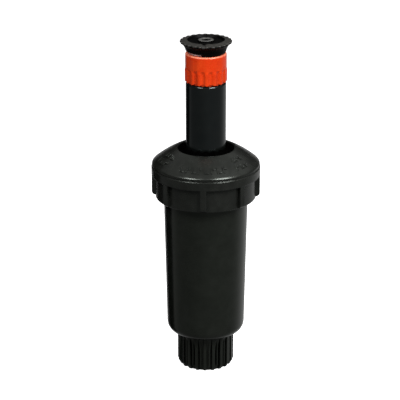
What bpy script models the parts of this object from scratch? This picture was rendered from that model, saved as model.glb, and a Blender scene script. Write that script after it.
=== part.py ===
"""Pop-up spray sprinkler with a two-inch riser, drawn popped up, at real size in metres with +Z up.

The origin is the centre of the inlet's lower face. The front, which holds the nozzle's pointer, faces -Y.
Sizes below are in millimetres and turn into metres where a mesh is made. Pieces are turned on the lathe with
Spin, and threads, lugs, ribs and slots are added with Boolean modifiers.
"""

import math

import bmesh
import bpy
from mathutils import Matrix, Vector

MM = 0.001

# ---------------------------------------------------------------- clearances
FIT_GAP = 0.3  # left between two pieces that touch
RUN_GAP = 0.5  # radial room for a piece that slides or turns in another
EMBED = 0.5  # how far a rib, lug or thread reaches into the wall that carries it

# ---------------------------------------------------------------- inlet, half-inch female pipe thread
INLET_RADIUS = 13.7
INLET_HEIGHT = 17.6
INLET_BORE_RADIUS = 9.7
INLET_TEETH = 20
INLET_TOOTH_DEPTH = 1.3
INLET_TURN_DEG = -3.0
INLET_CHAMFER_HEIGHT = 2.1
INLET_CHAMFER_DEPTH = 1.2

# ---------------------------------------------------------------- case
CASE_TOP_RADIUS = 20.15
CASE_DRAFT = 1.45
CASE_WALL = 2.4
CASE_CORNER_RADIUS = 4.8
NECK_STEP = 0.25
RIB_COUNT = 6
RIB_END = 4.0
THREAD_PITCH = 3.2
THREAD_TURNS = 2.0
THREAD_DEPTH = 1.1
THREAD_ROOT_WIDTH = 1.5
THREAD_CREST_WIDTH = 0.7
THREAD_PLAY = 0.8
THREAD_START_DEG = 2.0

# ---------------------------------------------------------------- cap
CAP_WALL = 1.75
CAP_SKIRT_HEIGHT = 11.2
CAP_RING_STEP = 1.95
CAP_RING_HEIGHT = 4.3
CAP_GROOVE = 0.35
CAP_EDGE_HEIGHT = 1.5
CAP_DOME_RISE = 7.6
CAP_CROWN = 0.45
CAP_RING_DROP = 1.9
CAP_SEAL_ROOM = 5.6
CAP_OPENING_ROOM = 1.45  # between the seal's sleeve and the rim of the opening
CAP_LIP_RADIUS = 0.9
CAP_LUGS = 8
CAP_LUG_WIDTH = 2.9
CAP_LUG_TURN_DEG = -3.0
CAP_LUG_END_RADIUS = 1.9
LUG_INSET = 0.15

# ---------------------------------------------------------------- seal and its support
SUPPORT_FLANGE = 1.4
SUPPORT_HUB_LENGTH = 8.2
SUPPORT_HUB_WALL = 1.2
SEAL_FLANGE = 2.0
SEAL_LIP_HEIGHT = 13.0
SEAL_RELIEF = 0.5
SEAL_LIP_THICKNESS = 1.1

# ---------------------------------------------------------------- riser and what it carries at its foot
POP_UP_TRAVEL = 48.5
FOOT_ROOM = 1.8  # left under the riser when it is down
RISER_RADIUS = 9.55
RISER_WALL = 1.65
RISER_TOP_ROUND = 1.0
RISER_FLANGE = 2.0
RISER_HUB_STEP = 0.65
STOP_COLLAR_WALL = 1.45
RATCHET_THICKNESS = 2.5
RATCHET_TOOTH_ROOM = 0.5
RETAINER_THICKNESS = 1.3
RETAINER_WIDTH = 3.0
SPRING_PRESSED_LENGTH = 18.7
SPRING_WIRE_RADIUS = 0.6
SPRING_COILS = 8

# ---------------------------------------------------------------- nozzle
COLLAR_RADIUS = 9.75
COLLAR_HEIGHT = 13.9
COLLAR_WALL = 0.85
COLLAR_TOP = 1.4
COLLAR_RIDGES = 16
COLLAR_RIDGE_HEIGHT = 0.2
COLLAR_RIDGE_SHARE = 0.46
BASE_BARREL_LENGTH = 8.0
BASE_BARREL_WALL = 1.6
BASE_FLANGE = 1.3
BASE_PLATE = 1.5
BASE_PORTS = 6
BASE_PORT_RADIUS = 0.8
HUB_STEM_RADIUS = 3.4
HUB_DISC = 1.7
SEAL_RING_RADIUS = 0.35
FLANGE_RADIUS = 12.4
FLANGE_EDGE = 0.85
FLANGE_SLOPE = 0.45
NOZZLE_PROUD = 4.4  # how far the lowered nozzle still stands above the cap
SCALLOPS = 24
SCALLOP_DEPTH = 0.6
DEFLECTOR_SKIRT = 4.8
DEFLECTOR_STEP = 0.45  # how far the skirt's lower edge stands inside the collar
DEFLECTOR_SKIRT_WALL = 0.6
RECESS_RADIUS = 8.65
RECESS_DEPTH = 1.3
BOSS_RADIUS = 3.65
BOSS_DROP = 0.1
ARC_STEP = 1.7
ARC_STEP_DEG = -13.0
ARC_OPEN_DEG = 200.0
SCREW_RADIUS = 1.5
SCREW_HEAD_RADIUS = 2.0
SCREW_HEAD_HEIGHT = 1.0
SCREW_HEAD_DROP = 0.8  # the head's top lies this far under the boss
SCREW_NECK_RADIUS = 0.7
SCREW_SLOT = 0.5
SCREW_SLOT_DEPTH = 0.7
SCREW_SLOT_TURN_DEG = 35.0
THROTTLE_RADIUS = 3.0
THROTTLE_LENGTH = 3.2
THROTTLE_FLOOR = 0.5
THROTTLE_TRAVEL = 1.0
THROTTLE_RISE = 2.5  # how far the screw's shoulder lies above the foot of the base

# ---------------------------------------------------------------- filter basket
SCREEN_LENGTH = 33.0
SCREEN_RADIUS = 5.9
SCREEN_RING = 1.8
SCREEN_RIBS = 4
SCREEN_RIB_WIDTH = 1.2
SCREEN_FLOOR = 1.2
MESH_THICKNESS = 0.35

# ---------------------------------------------------------------- how finely round pieces are divided
SEGMENTS_CASE = 3 * INLET_TEETH
SEGMENTS_CAP = 6 * CAP_LUGS
SEGMENTS_MEDIUM = 40
SEGMENTS_SMALL = 20
THREAD_STEPS_PER_TURN = 32

# ---------------------------------------------------------------- heights, from the bottom up
FLOOR_Z = INLET_HEIGHT + CASE_WALL
FOOT_Z = FLOOR_Z + FOOT_ROOM + POP_UP_TRAVEL
RATCHET_Z = FOOT_Z + RETAINER_THICKNESS + FIT_GAP
RISER_FLANGE_Z = RATCHET_Z + RATCHET_THICKNESS + RATCHET_TOOTH_ROOM
SPRING_LOW_Z = RISER_FLANGE_Z + RISER_FLANGE + FIT_GAP
SPRING_HIGH_Z = SPRING_LOW_Z + SPRING_PRESSED_LENGTH
SUPPORT_Z = SPRING_HIGH_Z + FIT_GAP
SEAL_Z = SUPPORT_Z + SUPPORT_FLANGE + FIT_GAP
CEILING_Z = SEAL_Z + SEAL_FLANGE + FIT_GAP
RIM_Z = SUPPORT_Z - FIT_GAP
RING_Z = CEILING_Z - CAP_RING_DROP
SKIRT_Z = RING_Z - CAP_SKIRT_HEIGHT
EDGE_Z = RING_Z + CAP_RING_HEIGHT
DOME_Z = EDGE_Z + CAP_EDGE_HEIGHT
CAP_TOP_Z = DOME_Z + CAP_DOME_RISE
HUB_FOOT_Z = SUPPORT_Z - SUPPORT_HUB_LENGTH
STOP_Z = HUB_FOOT_Z - FIT_GAP
NOZZLE_HEIGHT = 2 * FIT_GAP + COLLAR_HEIGHT + DEFLECTOR_SKIRT + FLANGE_EDGE + FLANGE_SLOPE
RISER_TOP_Z = CAP_TOP_Z + POP_UP_TRAVEL - NOZZLE_HEIGHT + NOZZLE_PROUD
COLLAR_Z = RISER_TOP_Z + FIT_GAP
COLLAR_TOP_Z = COLLAR_Z + COLLAR_HEIGHT
SKIRT_LOW_Z = COLLAR_TOP_Z + FIT_GAP
FLANGE_Z = SKIRT_LOW_Z + DEFLECTOR_SKIRT
NOZZLE_TOP_Z = RISER_TOP_Z + NOZZLE_HEIGHT
BASE_FOOT_Z = RISER_TOP_Z - BASE_BARREL_LENGTH
SCREEN_TOP_Z = BASE_FOOT_Z - FIT_GAP
BOSS_Z = NOZZLE_TOP_Z - BOSS_DROP
SCREW_TOP_Z = BOSS_Z - SCREW_HEAD_DROP
SCREW_NECK_Z = BASE_FOOT_Z + THROTTLE_RISE

# ---------------------------------------------------------------- radii that follow from others
CASE_LOW_RADIUS = CASE_TOP_RADIUS - CASE_DRAFT
CORNER_RADIUS = min(CASE_CORNER_RADIUS, CASE_LOW_RADIUS - INLET_RADIUS - FIT_GAP / 2)
WALL_LOW_RADIUS = CASE_LOW_RADIUS - CASE_WALL
WALL_TOP_RADIUS = CASE_TOP_RADIUS - CASE_WALL
NECK_RADIUS = CASE_TOP_RADIUS + NECK_STEP
THREAD_CREST_RADIUS = NECK_RADIUS + THREAD_DEPTH
CAP_BORE_RADIUS = THREAD_CREST_RADIUS + THREAD_PLAY
CAP_SKIRT_RADIUS = CAP_BORE_RADIUS + CAP_WALL
CAP_RING_RADIUS = CAP_SKIRT_RADIUS + CAP_RING_STEP
RATCHET_RADIUS = WALL_LOW_RADIUS - RUN_GAP
RISER_FLANGE_RADIUS = RATCHET_RADIUS - 1.0
RIB_RADIUS = RISER_FLANGE_RADIUS + 0.4
RISER_BORE_RADIUS = RISER_RADIUS - RISER_WALL
STOP_COLLAR_RADIUS = RISER_RADIUS + STOP_COLLAR_WALL
SPRING_RADIUS = (STOP_COLLAR_RADIUS + RISER_FLANGE_RADIUS) / 2 + 0.1
COLLAR_CREST_RADIUS = COLLAR_RADIUS + COLLAR_RIDGE_HEIGHT
SKIRT_RADIUS = COLLAR_RADIUS - DEFLECTOR_STEP
SEAL_LIP_RADIUS = max(RISER_RADIUS, COLLAR_CREST_RADIUS) + FIT_GAP
SUPPORT_BORE_RADIUS = max(RISER_RADIUS, COLLAR_CREST_RADIUS) + RUN_GAP
SEAL_SLEEVE_RADIUS = SEAL_LIP_RADIUS + SEAL_RELIEF + SEAL_LIP_THICKNESS
CAP_OPENING_RADIUS = SEAL_SLEEVE_RADIUS + CAP_OPENING_ROOM
BASE_BARREL_RADIUS = RISER_BORE_RADIUS - FIT_GAP
COLLAR_BORE_RADIUS = COLLAR_RADIUS - COLLAR_WALL
BASE_FLANGE_RADIUS = COLLAR_BORE_RADIUS - FIT_GAP
HUB_BORE_RADIUS = SCREW_RADIUS + FIT_GAP
HUB_DISC_RADIUS = SKIRT_RADIUS - DEFLECTOR_SKIRT_WALL - FIT_GAP


def arc(radius, height, size, start_deg, end_deg, steps):
    """Points of a round corner about (radius, height) in the plane of a profile."""
    points = []
    for step in range(steps + 1):
        angle = math.radians(start_deg + (end_deg - start_deg) * step / steps)
        points.append((radius + size * math.cos(angle), height + size * math.sin(angle)))
    return points


def facing(turn_deg):
    """Unit vector in the floor plane, turned from the front (-Y) towards +X."""
    angle = math.radians(turn_deg)
    return Vector((math.sin(angle), -math.cos(angle), 0.0))


def turn_of(x, y):
    """The angle in degrees of a point about Z, from the front (-Y) towards +X."""
    return math.degrees(math.atan2(x, -y))


def material(name, colour, roughness, metallic=0.0):
    """A Principled BSDF material of one colour."""
    made = bpy.data.materials.new(name)
    made.use_nodes = True
    shader = made.node_tree.nodes["Principled BSDF"]
    shader.inputs["Base Color"].default_value = (*colour, 1.0)
    shader.inputs["Roughness"].default_value = roughness
    shader.inputs["Metallic"].default_value = metallic
    made.diffuse_color = (*colour, 1.0)
    return made


def finish_mesh(name, bm, parent, finish):
    """Turn a bmesh in metres into a named, smooth-shaded object under its joint's empty."""
    bmesh.ops.recalc_face_normals(bm, faces=bm.faces)
    mesh = bpy.data.meshes.new(name)
    bm.to_mesh(mesh)
    bm.free()
    obj = bpy.data.objects.new(name, mesh)
    bpy.context.scene.collection.objects.link(obj)
    mesh.shade_smooth()
    mesh.set_sharp_from_angle(angle=math.radians(35.0))
    if finish is not None:
        mesh.materials.append(finish)
    if parent is not None:
        obj.parent = parent
        obj.matrix_parent_inverse = parent.matrix_world.inverted()
    return obj


def spun(profile, segments, warp=None):
    """Spin a closed profile of (radius, height) points round Z; warp(radius, height, turn) may move a point."""
    bm = bmesh.new()
    ring = [bm.verts.new((radius * MM, 0.0, height * MM)) for radius, height in profile]
    edges = [bm.edges.new((a, b)) for a, b in zip(ring, ring[1:])]
    if profile[0][0] > 0.0 or profile[-1][0] > 0.0:
        edges.append(bm.edges.new((ring[-1], ring[0])))
    bmesh.ops.spin(
        bm, geom=ring + edges, cent=(0, 0, 0), axis=(0, 0, 1), angle=math.tau, steps=segments, use_merge=True
    )
    bmesh.ops.remove_doubles(bm, verts=bm.verts, dist=1e-7)
    if warp is not None:
        for vert in bm.verts:
            radius = math.hypot(vert.co.x, vert.co.y) / MM
            if radius > 1e-6:
                new_radius, new_height = warp(radius, vert.co.z / MM, turn_of(vert.co.x, vert.co.y))
                vert.co.x *= new_radius / radius
                vert.co.y *= new_radius / radius
                vert.co.z = new_height * MM
    return bm


def lathe(name, profile, segments, parent, finish, warp=None):
    """A turned piece."""
    return finish_mesh(name, spun(profile, segments, warp), parent, finish)


def add_box(bm, direction, inner, outer, width, low, high):
    """Add a radial block to a bmesh, between two radii and two heights, along a direction from the axis."""
    side = Vector((-direction.y, direction.x, 0.0))
    size = Vector(((outer - inner) * MM, width * MM, (high - low) * MM))
    middle = direction * ((inner + outer) / 2 * MM) + Vector((0.0, 0.0, (low + high) / 2 * MM))
    turn = Matrix((direction, side, Vector((0.0, 0.0, 1.0)))).transposed().to_4x4()
    place = Matrix.Translation(middle) @ turn @ Matrix.Diagonal((*size, 1.0))
    bmesh.ops.create_cube(bm, size=1.0, matrix=place)


def helix_ridge(root, crest, low_z, start_deg):
    """A thread ridge as a closed bmesh: its root and crest radii may be in either order, and its ends fade out."""
    bm = bmesh.new()
    steps = round(THREAD_STEPS_PER_TURN * THREAD_TURNS)
    fade = THREAD_STEPS_PER_TURN // 8
    buried = root - EMBED if crest > root else root + EMBED
    rows = []
    for step in range(steps + 1):
        share = min(1.0, (min(step, steps - step) + 0.5) / fade)
        reach = root + (crest - root) * share
        angle = math.tau * step / THREAD_STEPS_PER_TURN + math.radians(start_deg)
        middle = low_z + THREAD_PITCH * step / THREAD_STEPS_PER_TURN
        corners = (
            (buried, -THREAD_ROOT_WIDTH / 2),
            (reach, -THREAD_CREST_WIDTH / 2),
            (reach, THREAD_CREST_WIDTH / 2),
            (buried, THREAD_ROOT_WIDTH / 2),
        )
        rows.append(
            [
                bm.verts.new((r * math.cos(angle) * MM, r * math.sin(angle) * MM, (middle + h) * MM))
                for r, h in corners
            ]
        )
    for first, second in zip(rows, rows[1:]):
        for i in range(len(first)):
            j = (i + 1) % len(first)
            bm.faces.new((first[i], first[j], second[j], second[i]))
    bm.faces.new(rows[0])
    bm.faces.new(rows[-1])
    return bm


def combine(target, bm, operation, label):
    """Join or cut a closed bmesh into an object with a Boolean modifier and a hidden helper."""
    helper = finish_mesh(f"{target.name}_{label}", bm, None, None)
    helper.hide_render = True
    helper.display_type = "WIRE"
    cut = target.modifiers.new(label, "BOOLEAN")
    cut.operation = operation
    cut.object = helper
    return helper


def joint_empty(name, height=0.0):
    """An empty on the sprinkler's axis that carries a moving group."""
    empty = bpy.data.objects.new(name, None)
    empty.empty_display_size = 5 * MM
    empty.location = (0.0, 0.0, height * MM)
    bpy.context.scene.collection.objects.link(empty)
    bpy.context.view_layer.update()
    return empty


def make_case(finish):
    """The case: ribbed inlet boss, tapered barrel with guide ribs inside, and a threaded neck."""
    corner_centre_z = INLET_HEIGHT + CORNER_RADIUS
    corner_centre_r = CASE_LOW_RADIUS - CORNER_RADIUS
    inner_corner = max(CORNER_RADIUS - CASE_WALL, 0.6)
    inner_centre_r = WALL_LOW_RADIUS - inner_corner
    rib_low = FLOOR_Z + inner_corner + 0.6
    rib_high = RIM_Z - RIB_END
    foot = INLET_RADIUS - INLET_CHAMFER_DEPTH
    outer = [(INLET_BORE_RADIUS + 0.6, 0.0), (foot, 0.0), (INLET_RADIUS, INLET_CHAMFER_HEIGHT)]
    outer += [(INLET_RADIUS, INLET_HEIGHT)]
    outer += arc(corner_centre_r, corner_centre_z, CORNER_RADIUS, -90, 0, 5)
    outer += [(CASE_TOP_RADIUS, SKIRT_Z), (NECK_RADIUS, SKIRT_Z + 0.6), (NECK_RADIUS, RIM_Z - 0.5)]
    outer += [(NECK_RADIUS - 0.5, RIM_Z)]
    inner = [(WALL_TOP_RADIUS + 0.4, RIM_Z), (WALL_TOP_RADIUS, RIM_Z - 1.0)]
    inner += [(WALL_TOP_RADIUS, rib_high), (WALL_TOP_RADIUS, rib_high - 1.2)]
    inner += [(WALL_LOW_RADIUS, rib_low + 1.2), (WALL_LOW_RADIUS, rib_low)]
    inner += arc(inner_centre_r, FLOOR_Z + inner_corner, inner_corner, 0, -90, 2)
    inner += [(INLET_BORE_RADIUS, FLOOR_Z), (INLET_BORE_RADIUS, 0.6)]
    land = 90.0 / INLET_TEETH
    pitch = 360.0 / INLET_TEETH
    rib_pitch = 360.0 / RIB_COUNT
    half_rib = 0.55 * 360.0 / SEGMENTS_CASE

    def warp(radius, height, turn):
        if height < INLET_HEIGHT + 1e-3 and foot - 1e-3 < radius < INLET_RADIUS + 1e-3:
            away = abs((turn - INLET_TURN_DEG + pitch / 2) % pitch - pitch / 2)
            if away > land:
                return radius - INLET_TOOTH_DEPTH, height
        if rib_low + 0.6 < height < rib_high - 0.6 and radius < WALL_TOP_RADIUS + 1e-3:
            away = abs((turn - INLET_TURN_DEG + rib_pitch / 2) % rib_pitch - rib_pitch / 2)
            if away <= half_rib + 0.5 * 360.0 / SEGMENTS_CASE:
                return RIB_RADIUS, height
        return radius, height

    case = lathe("case_body", outer + inner, SEGMENTS_CASE, None, finish, warp)
    thread = helix_ridge(NECK_RADIUS, THREAD_CREST_RADIUS, SKIRT_Z + 1.3, THREAD_START_DEG)
    combine(case, thread, "UNION", "neck_thread")
    return case


def make_cap(parent, finish):
    """The screw-on cap: skirt with eight grip lugs, ring band, groove, dome and rounded opening."""
    lip_r = CAP_OPENING_RADIUS + CAP_LIP_RADIUS
    lip_z = CAP_TOP_Z - CAP_LIP_RADIUS
    outer = [(CAP_BORE_RADIUS + 0.5, SKIRT_Z), (CAP_SKIRT_RADIUS - 0.4, SKIRT_Z)]
    outer += [(CAP_SKIRT_RADIUS, SKIRT_Z + 0.4), (CAP_SKIRT_RADIUS, RING_Z), (CAP_RING_RADIUS, RING_Z)]
    outer += [(CAP_RING_RADIUS, EDGE_Z - 0.3), (CAP_RING_RADIUS - 0.3, EDGE_Z)]
    outer += [(CAP_RING_RADIUS - 0.3 - CAP_GROOVE, EDGE_Z + 0.1), (CAP_RING_RADIUS - 0.35, EDGE_Z + 0.5)]
    outer += arc(CAP_RING_RADIUS - 1.5, DOME_Z - 0.4, 1.2, 0, 60, 2)
    dome_steps = 3
    dome_start = (CAP_RING_RADIUS - 0.9, DOME_Z + 0.64)
    dome_end = (lip_r + 0.35, CAP_TOP_Z - 0.08)
    for step in range(1, dome_steps + 1):
        share = step / dome_steps
        radius = dome_start[0] + (dome_end[0] - dome_start[0]) * share
        height = dome_start[1] + (dome_end[1] - dome_start[1]) * share + CAP_CROWN * 4 * share * (1 - share)
        outer.append((radius, height))
    outer += arc(lip_r, lip_z, CAP_LIP_RADIUS, 90, 180, 3)
    seal_room_z = CEILING_Z + CAP_SEAL_ROOM
    inner = [(CAP_OPENING_RADIUS, seal_room_z), (CAP_BORE_RADIUS - 1.8, CEILING_Z)]
    inner += [(CAP_BORE_RADIUS, CEILING_Z), (CAP_BORE_RADIUS, SKIRT_Z + 0.5)]
    cap = lathe("cap_shell", outer + inner, SEGMENTS_CAP, parent, finish)
    lugs = bmesh.new()
    for index in range(CAP_LUGS):
        add_lug(lugs, facing(CAP_LUG_TURN_DEG + index * 360.0 / CAP_LUGS))
    combine(cap, lugs, "UNION", "grip_lugs")
    low_z = SKIRT_Z + 1.3 + THREAD_PITCH / 2
    thread = helix_ridge(CAP_BORE_RADIUS, THREAD_CREST_RADIUS - 0.5, low_z, THREAD_START_DEG)
    combine(cap, thread, "UNION", "cap_thread")
    return cap


def add_lug(bm, direction):
    """Add one grip lug: a radial block whose lower outer end is rounded."""
    side = Vector((-direction.y, direction.x, 0.0))
    inner = CAP_SKIRT_RADIUS - EMBED
    low = SKIRT_Z + 0.4
    high = RING_Z + EMBED
    outer = CAP_RING_RADIUS - LUG_INSET
    rounding = min(CAP_LUG_END_RADIUS, outer - CAP_SKIRT_RADIUS)
    outline = [(inner, high), (inner, low), (outer - rounding, low)]
    outline += arc(outer - rounding, low + rounding, rounding, -60, 0, 3) + [(outer, high)]
    sides = []
    for offset in (-CAP_LUG_WIDTH / 2, CAP_LUG_WIDTH / 2):
        corners = [direction * (r * MM) + side * (offset * MM) + Vector((0, 0, h * MM)) for r, h in outline]
        sides.append([bm.verts.new(corner) for corner in corners])
    bm.faces.new(sides[0])
    bm.faces.new(sides[1])
    for i in range(len(outline)):
        j = (i + 1) % len(outline)
        bm.faces.new((sides[0][i], sides[0][j], sides[1][j], sides[1][i]))


def make_seal_group(parent, seal_finish, support_finish):
    """The wiper seal and the ring under it, which guides the riser and holds the spring down."""
    flange_radius = NECK_RADIUS - 0.1
    hub_radius = SUPPORT_BORE_RADIUS + SUPPORT_HUB_WALL
    top = SUPPORT_Z + SUPPORT_FLANGE
    support = [(SUPPORT_BORE_RADIUS, HUB_FOOT_Z), (hub_radius, HUB_FOOT_Z), (hub_radius, SUPPORT_Z)]
    support += [(flange_radius, SUPPORT_Z), (flange_radius, top), (SUPPORT_BORE_RADIUS, top)]
    lathe("seal_support_ring", support, SEGMENTS_MEDIUM, parent, support_finish)
    seal_top = SEAL_Z + SEAL_FLANGE
    lip_top = seal_top + SEAL_LIP_HEIGHT
    lip = SEAL_LIP_RADIUS
    sleeve = SEAL_SLEEVE_RADIUS
    seal = [(lip + SEAL_RELIEF, SEAL_Z), (flange_radius, SEAL_Z), (flange_radius, seal_top)]
    seal += [(sleeve + 1.6, seal_top), (sleeve + 0.3, seal_top + 1.3), (sleeve, lip_top - 1.2)]
    seal += [(lip + SEAL_LIP_THICKNESS, lip_top), (lip + 0.2, lip_top), (lip, lip_top - 0.5)]
    seal += [(lip, lip_top - 1.6), (lip + SEAL_RELIEF, lip_top - 2.2)]
    lathe("wiper_seal", seal, SEGMENTS_MEDIUM, parent, seal_finish)


def make_spring(finish):
    """The retraction spring, pressed short: a round wire coil with closed ends."""
    curve = bpy.data.curves.new("retract_spring", "CURVE")
    curve.dimensions = "3D"
    curve.bevel_depth = SPRING_WIRE_RADIUS * MM
    curve.bevel_resolution = 1
    curve.use_fill_caps = True
    steps_per_coil = 12
    closed = 0.9
    low = SPRING_LOW_Z + SPRING_WIRE_RADIUS
    high = SPRING_HIGH_Z - SPRING_WIRE_RADIUS
    closed_rise = 2 * SPRING_WIRE_RADIUS + 0.25
    coils = SPRING_COILS
    steps = round(coils * steps_per_coil)
    spline = curve.splines.new("POLY")
    spline.points.add(steps)
    for step in range(steps + 1):
        turns = step / steps_per_coil
        if turns < closed:
            height = low + closed_rise * turns
        elif turns > coils - closed:
            height = high - closed_rise * (coils - turns)
        else:
            share = (turns - closed) / (coils - 2 * closed)
            height = low + closed_rise * closed + (high - low - 2 * closed_rise * closed) * share
        angle = math.tau * turns
        x = SPRING_RADIUS * math.cos(angle)
        y = SPRING_RADIUS * math.sin(angle)
        spline.points[step].co = (x * MM, y * MM, height * MM, 1.0)
    obj = bpy.data.objects.new("retract_spring", curve)
    curve.materials.append(finish)
    bpy.context.scene.collection.objects.link(obj)
    return obj


def make_riser_foot(ratchet_parent, riser_parent, ratchet_finish, retainer_finish):
    """The ratchet ring, notched round the case's guide ribs, and the retainer that holds it on the riser."""
    hub = RISER_RADIUS + RISER_HUB_STEP
    bore = hub + FIT_GAP
    notch_pitch = 360.0 / RIB_COUNT
    notch_half = 1.6 * 360.0 / SEGMENTS_CASE
    top = RATCHET_Z + RATCHET_THICKNESS
    ring = [(bore, RATCHET_Z), (RATCHET_RADIUS, RATCHET_Z), (RATCHET_RADIUS, top), (bore, top)]

    def warp(radius, height, turn):
        away = abs((turn - INLET_TURN_DEG + notch_pitch / 2) % notch_pitch - notch_pitch / 2)
        if radius > RATCHET_RADIUS - 0.1 and away < notch_half:
            return RIB_RADIUS - RUN_GAP, height
        return radius, height

    lathe("ratchet_ring", ring, SEGMENTS_CASE, ratchet_parent, ratchet_finish, warp)
    low = FOOT_Z
    high = FOOT_Z + RETAINER_THICKNESS
    rim = min(bore + RETAINER_WIDTH, RIB_RADIUS - RUN_GAP)
    keeper = [(bore, low), (rim - 0.4, low), (rim, low + 0.4), (rim, high), (bore, high)]
    lathe("stem_retainer", keeper, SEGMENTS_MEDIUM, riser_parent, retainer_finish)


def make_riser(parent, finish):
    """The riser: smooth tube with a rounded top, a stop collar, a spring flange and a hub for the ratchet."""
    hub = RISER_RADIUS + RISER_HUB_STEP
    flange_top = RISER_FLANGE_Z + RISER_FLANGE
    outer = [(RISER_BORE_RADIUS, FOOT_Z), (hub - 0.3, FOOT_Z), (hub, FOOT_Z + 0.3), (hub, RISER_FLANGE_Z)]
    outer += [(RISER_FLANGE_RADIUS, RISER_FLANGE_Z), (RISER_FLANGE_RADIUS, flange_top)]
    outer += [(STOP_COLLAR_RADIUS, flange_top), (STOP_COLLAR_RADIUS, STOP_Z), (RISER_RADIUS, STOP_Z)]
    outer += arc(RISER_RADIUS - RISER_TOP_ROUND, RISER_TOP_Z - RISER_TOP_ROUND, RISER_TOP_ROUND, 0, 90, 3)
    outer += [(RISER_BORE_RADIUS, RISER_TOP_Z)]
    return lathe("riser_stem", outer, SEGMENTS_MEDIUM, parent, finish)


def make_nozzle_base(parent, finish):
    """The nozzle's base: barrel in the riser, seat flange, upright sleeve and a plate with ports.

    It gives the closed profile of the seal ring that lies between its sleeve and the collar.
    """
    sleeve = COLLAR_BORE_RADIUS - 2 * SEAL_RING_RADIUS - 2 * FIT_GAP
    flange_top = COLLAR_Z + BASE_FLANGE
    plate_z = COLLAR_Z + 2.0
    top = COLLAR_TOP_Z - COLLAR_TOP - 1.2
    bore = BASE_BARREL_RADIUS - BASE_BARREL_WALL
    outer = [(bore, BASE_FOOT_Z), (BASE_BARREL_RADIUS, BASE_FOOT_Z), (BASE_BARREL_RADIUS, COLLAR_Z)]
    outer += [(BASE_FLANGE_RADIUS, COLLAR_Z), (BASE_FLANGE_RADIUS, flange_top), (sleeve, flange_top)]
    outer += [(sleeve, top), (sleeve - 1.2, top), (sleeve - 1.2, plate_z + BASE_PLATE)]
    outer += [(HUB_STEM_RADIUS + FIT_GAP, plate_z + BASE_PLATE), (HUB_STEM_RADIUS + FIT_GAP, plate_z)]
    outer += [(bore, plate_z)]
    base = lathe("nozzle_base", outer, SEGMENTS_MEDIUM, parent, finish)
    ports = bmesh.new()
    ring = (HUB_STEM_RADIUS + FIT_GAP + min(bore, sleeve - 1.2)) / 2
    for index in range(BASE_PORTS):
        place = facing(index * 360.0 / BASE_PORTS) * (ring * MM)
        place.z = (plate_z + BASE_PLATE / 2) * MM
        bmesh.ops.create_cone(
            ports,
            cap_ends=True,
            segments=10,
            radius1=BASE_PORT_RADIUS * MM,
            radius2=BASE_PORT_RADIUS * MM,
            depth=(BASE_PLATE + 1.0) * MM,
            matrix=Matrix.Translation(place),
        )
    combine(base, ports, "DIFFERENCE", "ports")
    ring_middle = sleeve + FIT_GAP + SEAL_RING_RADIUS
    return arc(ring_middle, (flange_top + top) / 2, SEAL_RING_RADIUS, 0, 300, 5)


def make_collar(parent, finish):
    """The coloured arc collar, with grip ridges round its lower part."""
    ridge_top = COLLAR_Z + COLLAR_HEIGHT * COLLAR_RIDGE_SHARE
    inner_top = COLLAR_TOP_Z - COLLAR_TOP
    eye = HUB_STEM_RADIUS + 1.4
    outer = [(COLLAR_BORE_RADIUS, COLLAR_Z), (COLLAR_RADIUS - 0.3, COLLAR_Z), (COLLAR_RADIUS, COLLAR_Z + 0.5)]
    outer += [(COLLAR_RADIUS, ridge_top - 0.8), (COLLAR_RADIUS, ridge_top + 0.6)]
    outer += [(COLLAR_RADIUS, COLLAR_TOP_Z - 0.3), (COLLAR_RADIUS - 0.3, COLLAR_TOP_Z)]
    inner = [(eye, COLLAR_TOP_Z), (eye, inner_top), (COLLAR_BORE_RADIUS, inner_top)]
    pitch = 360.0 / COLLAR_RIDGES

    def warp(radius, height, turn):
        if height < ridge_top and radius > COLLAR_RADIUS - 0.4:
            wave = math.cos(math.radians((turn - pitch / 2) / pitch * 360.0))
            return radius + COLLAR_RIDGE_HEIGHT * wave, height
        return radius, height

    return lathe("arc_collar", outer + inner, 3 * COLLAR_RIDGES, parent, finish, warp)


def arc_gap(turn):
    """How far the deflector's skirt is raised at an angle: a ramp that ends in a step."""
    away = (ARC_STEP_DEG - turn) % 360.0
    return ARC_STEP * max(0.0, 1.0 - away / ARC_OPEN_DEG)


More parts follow.
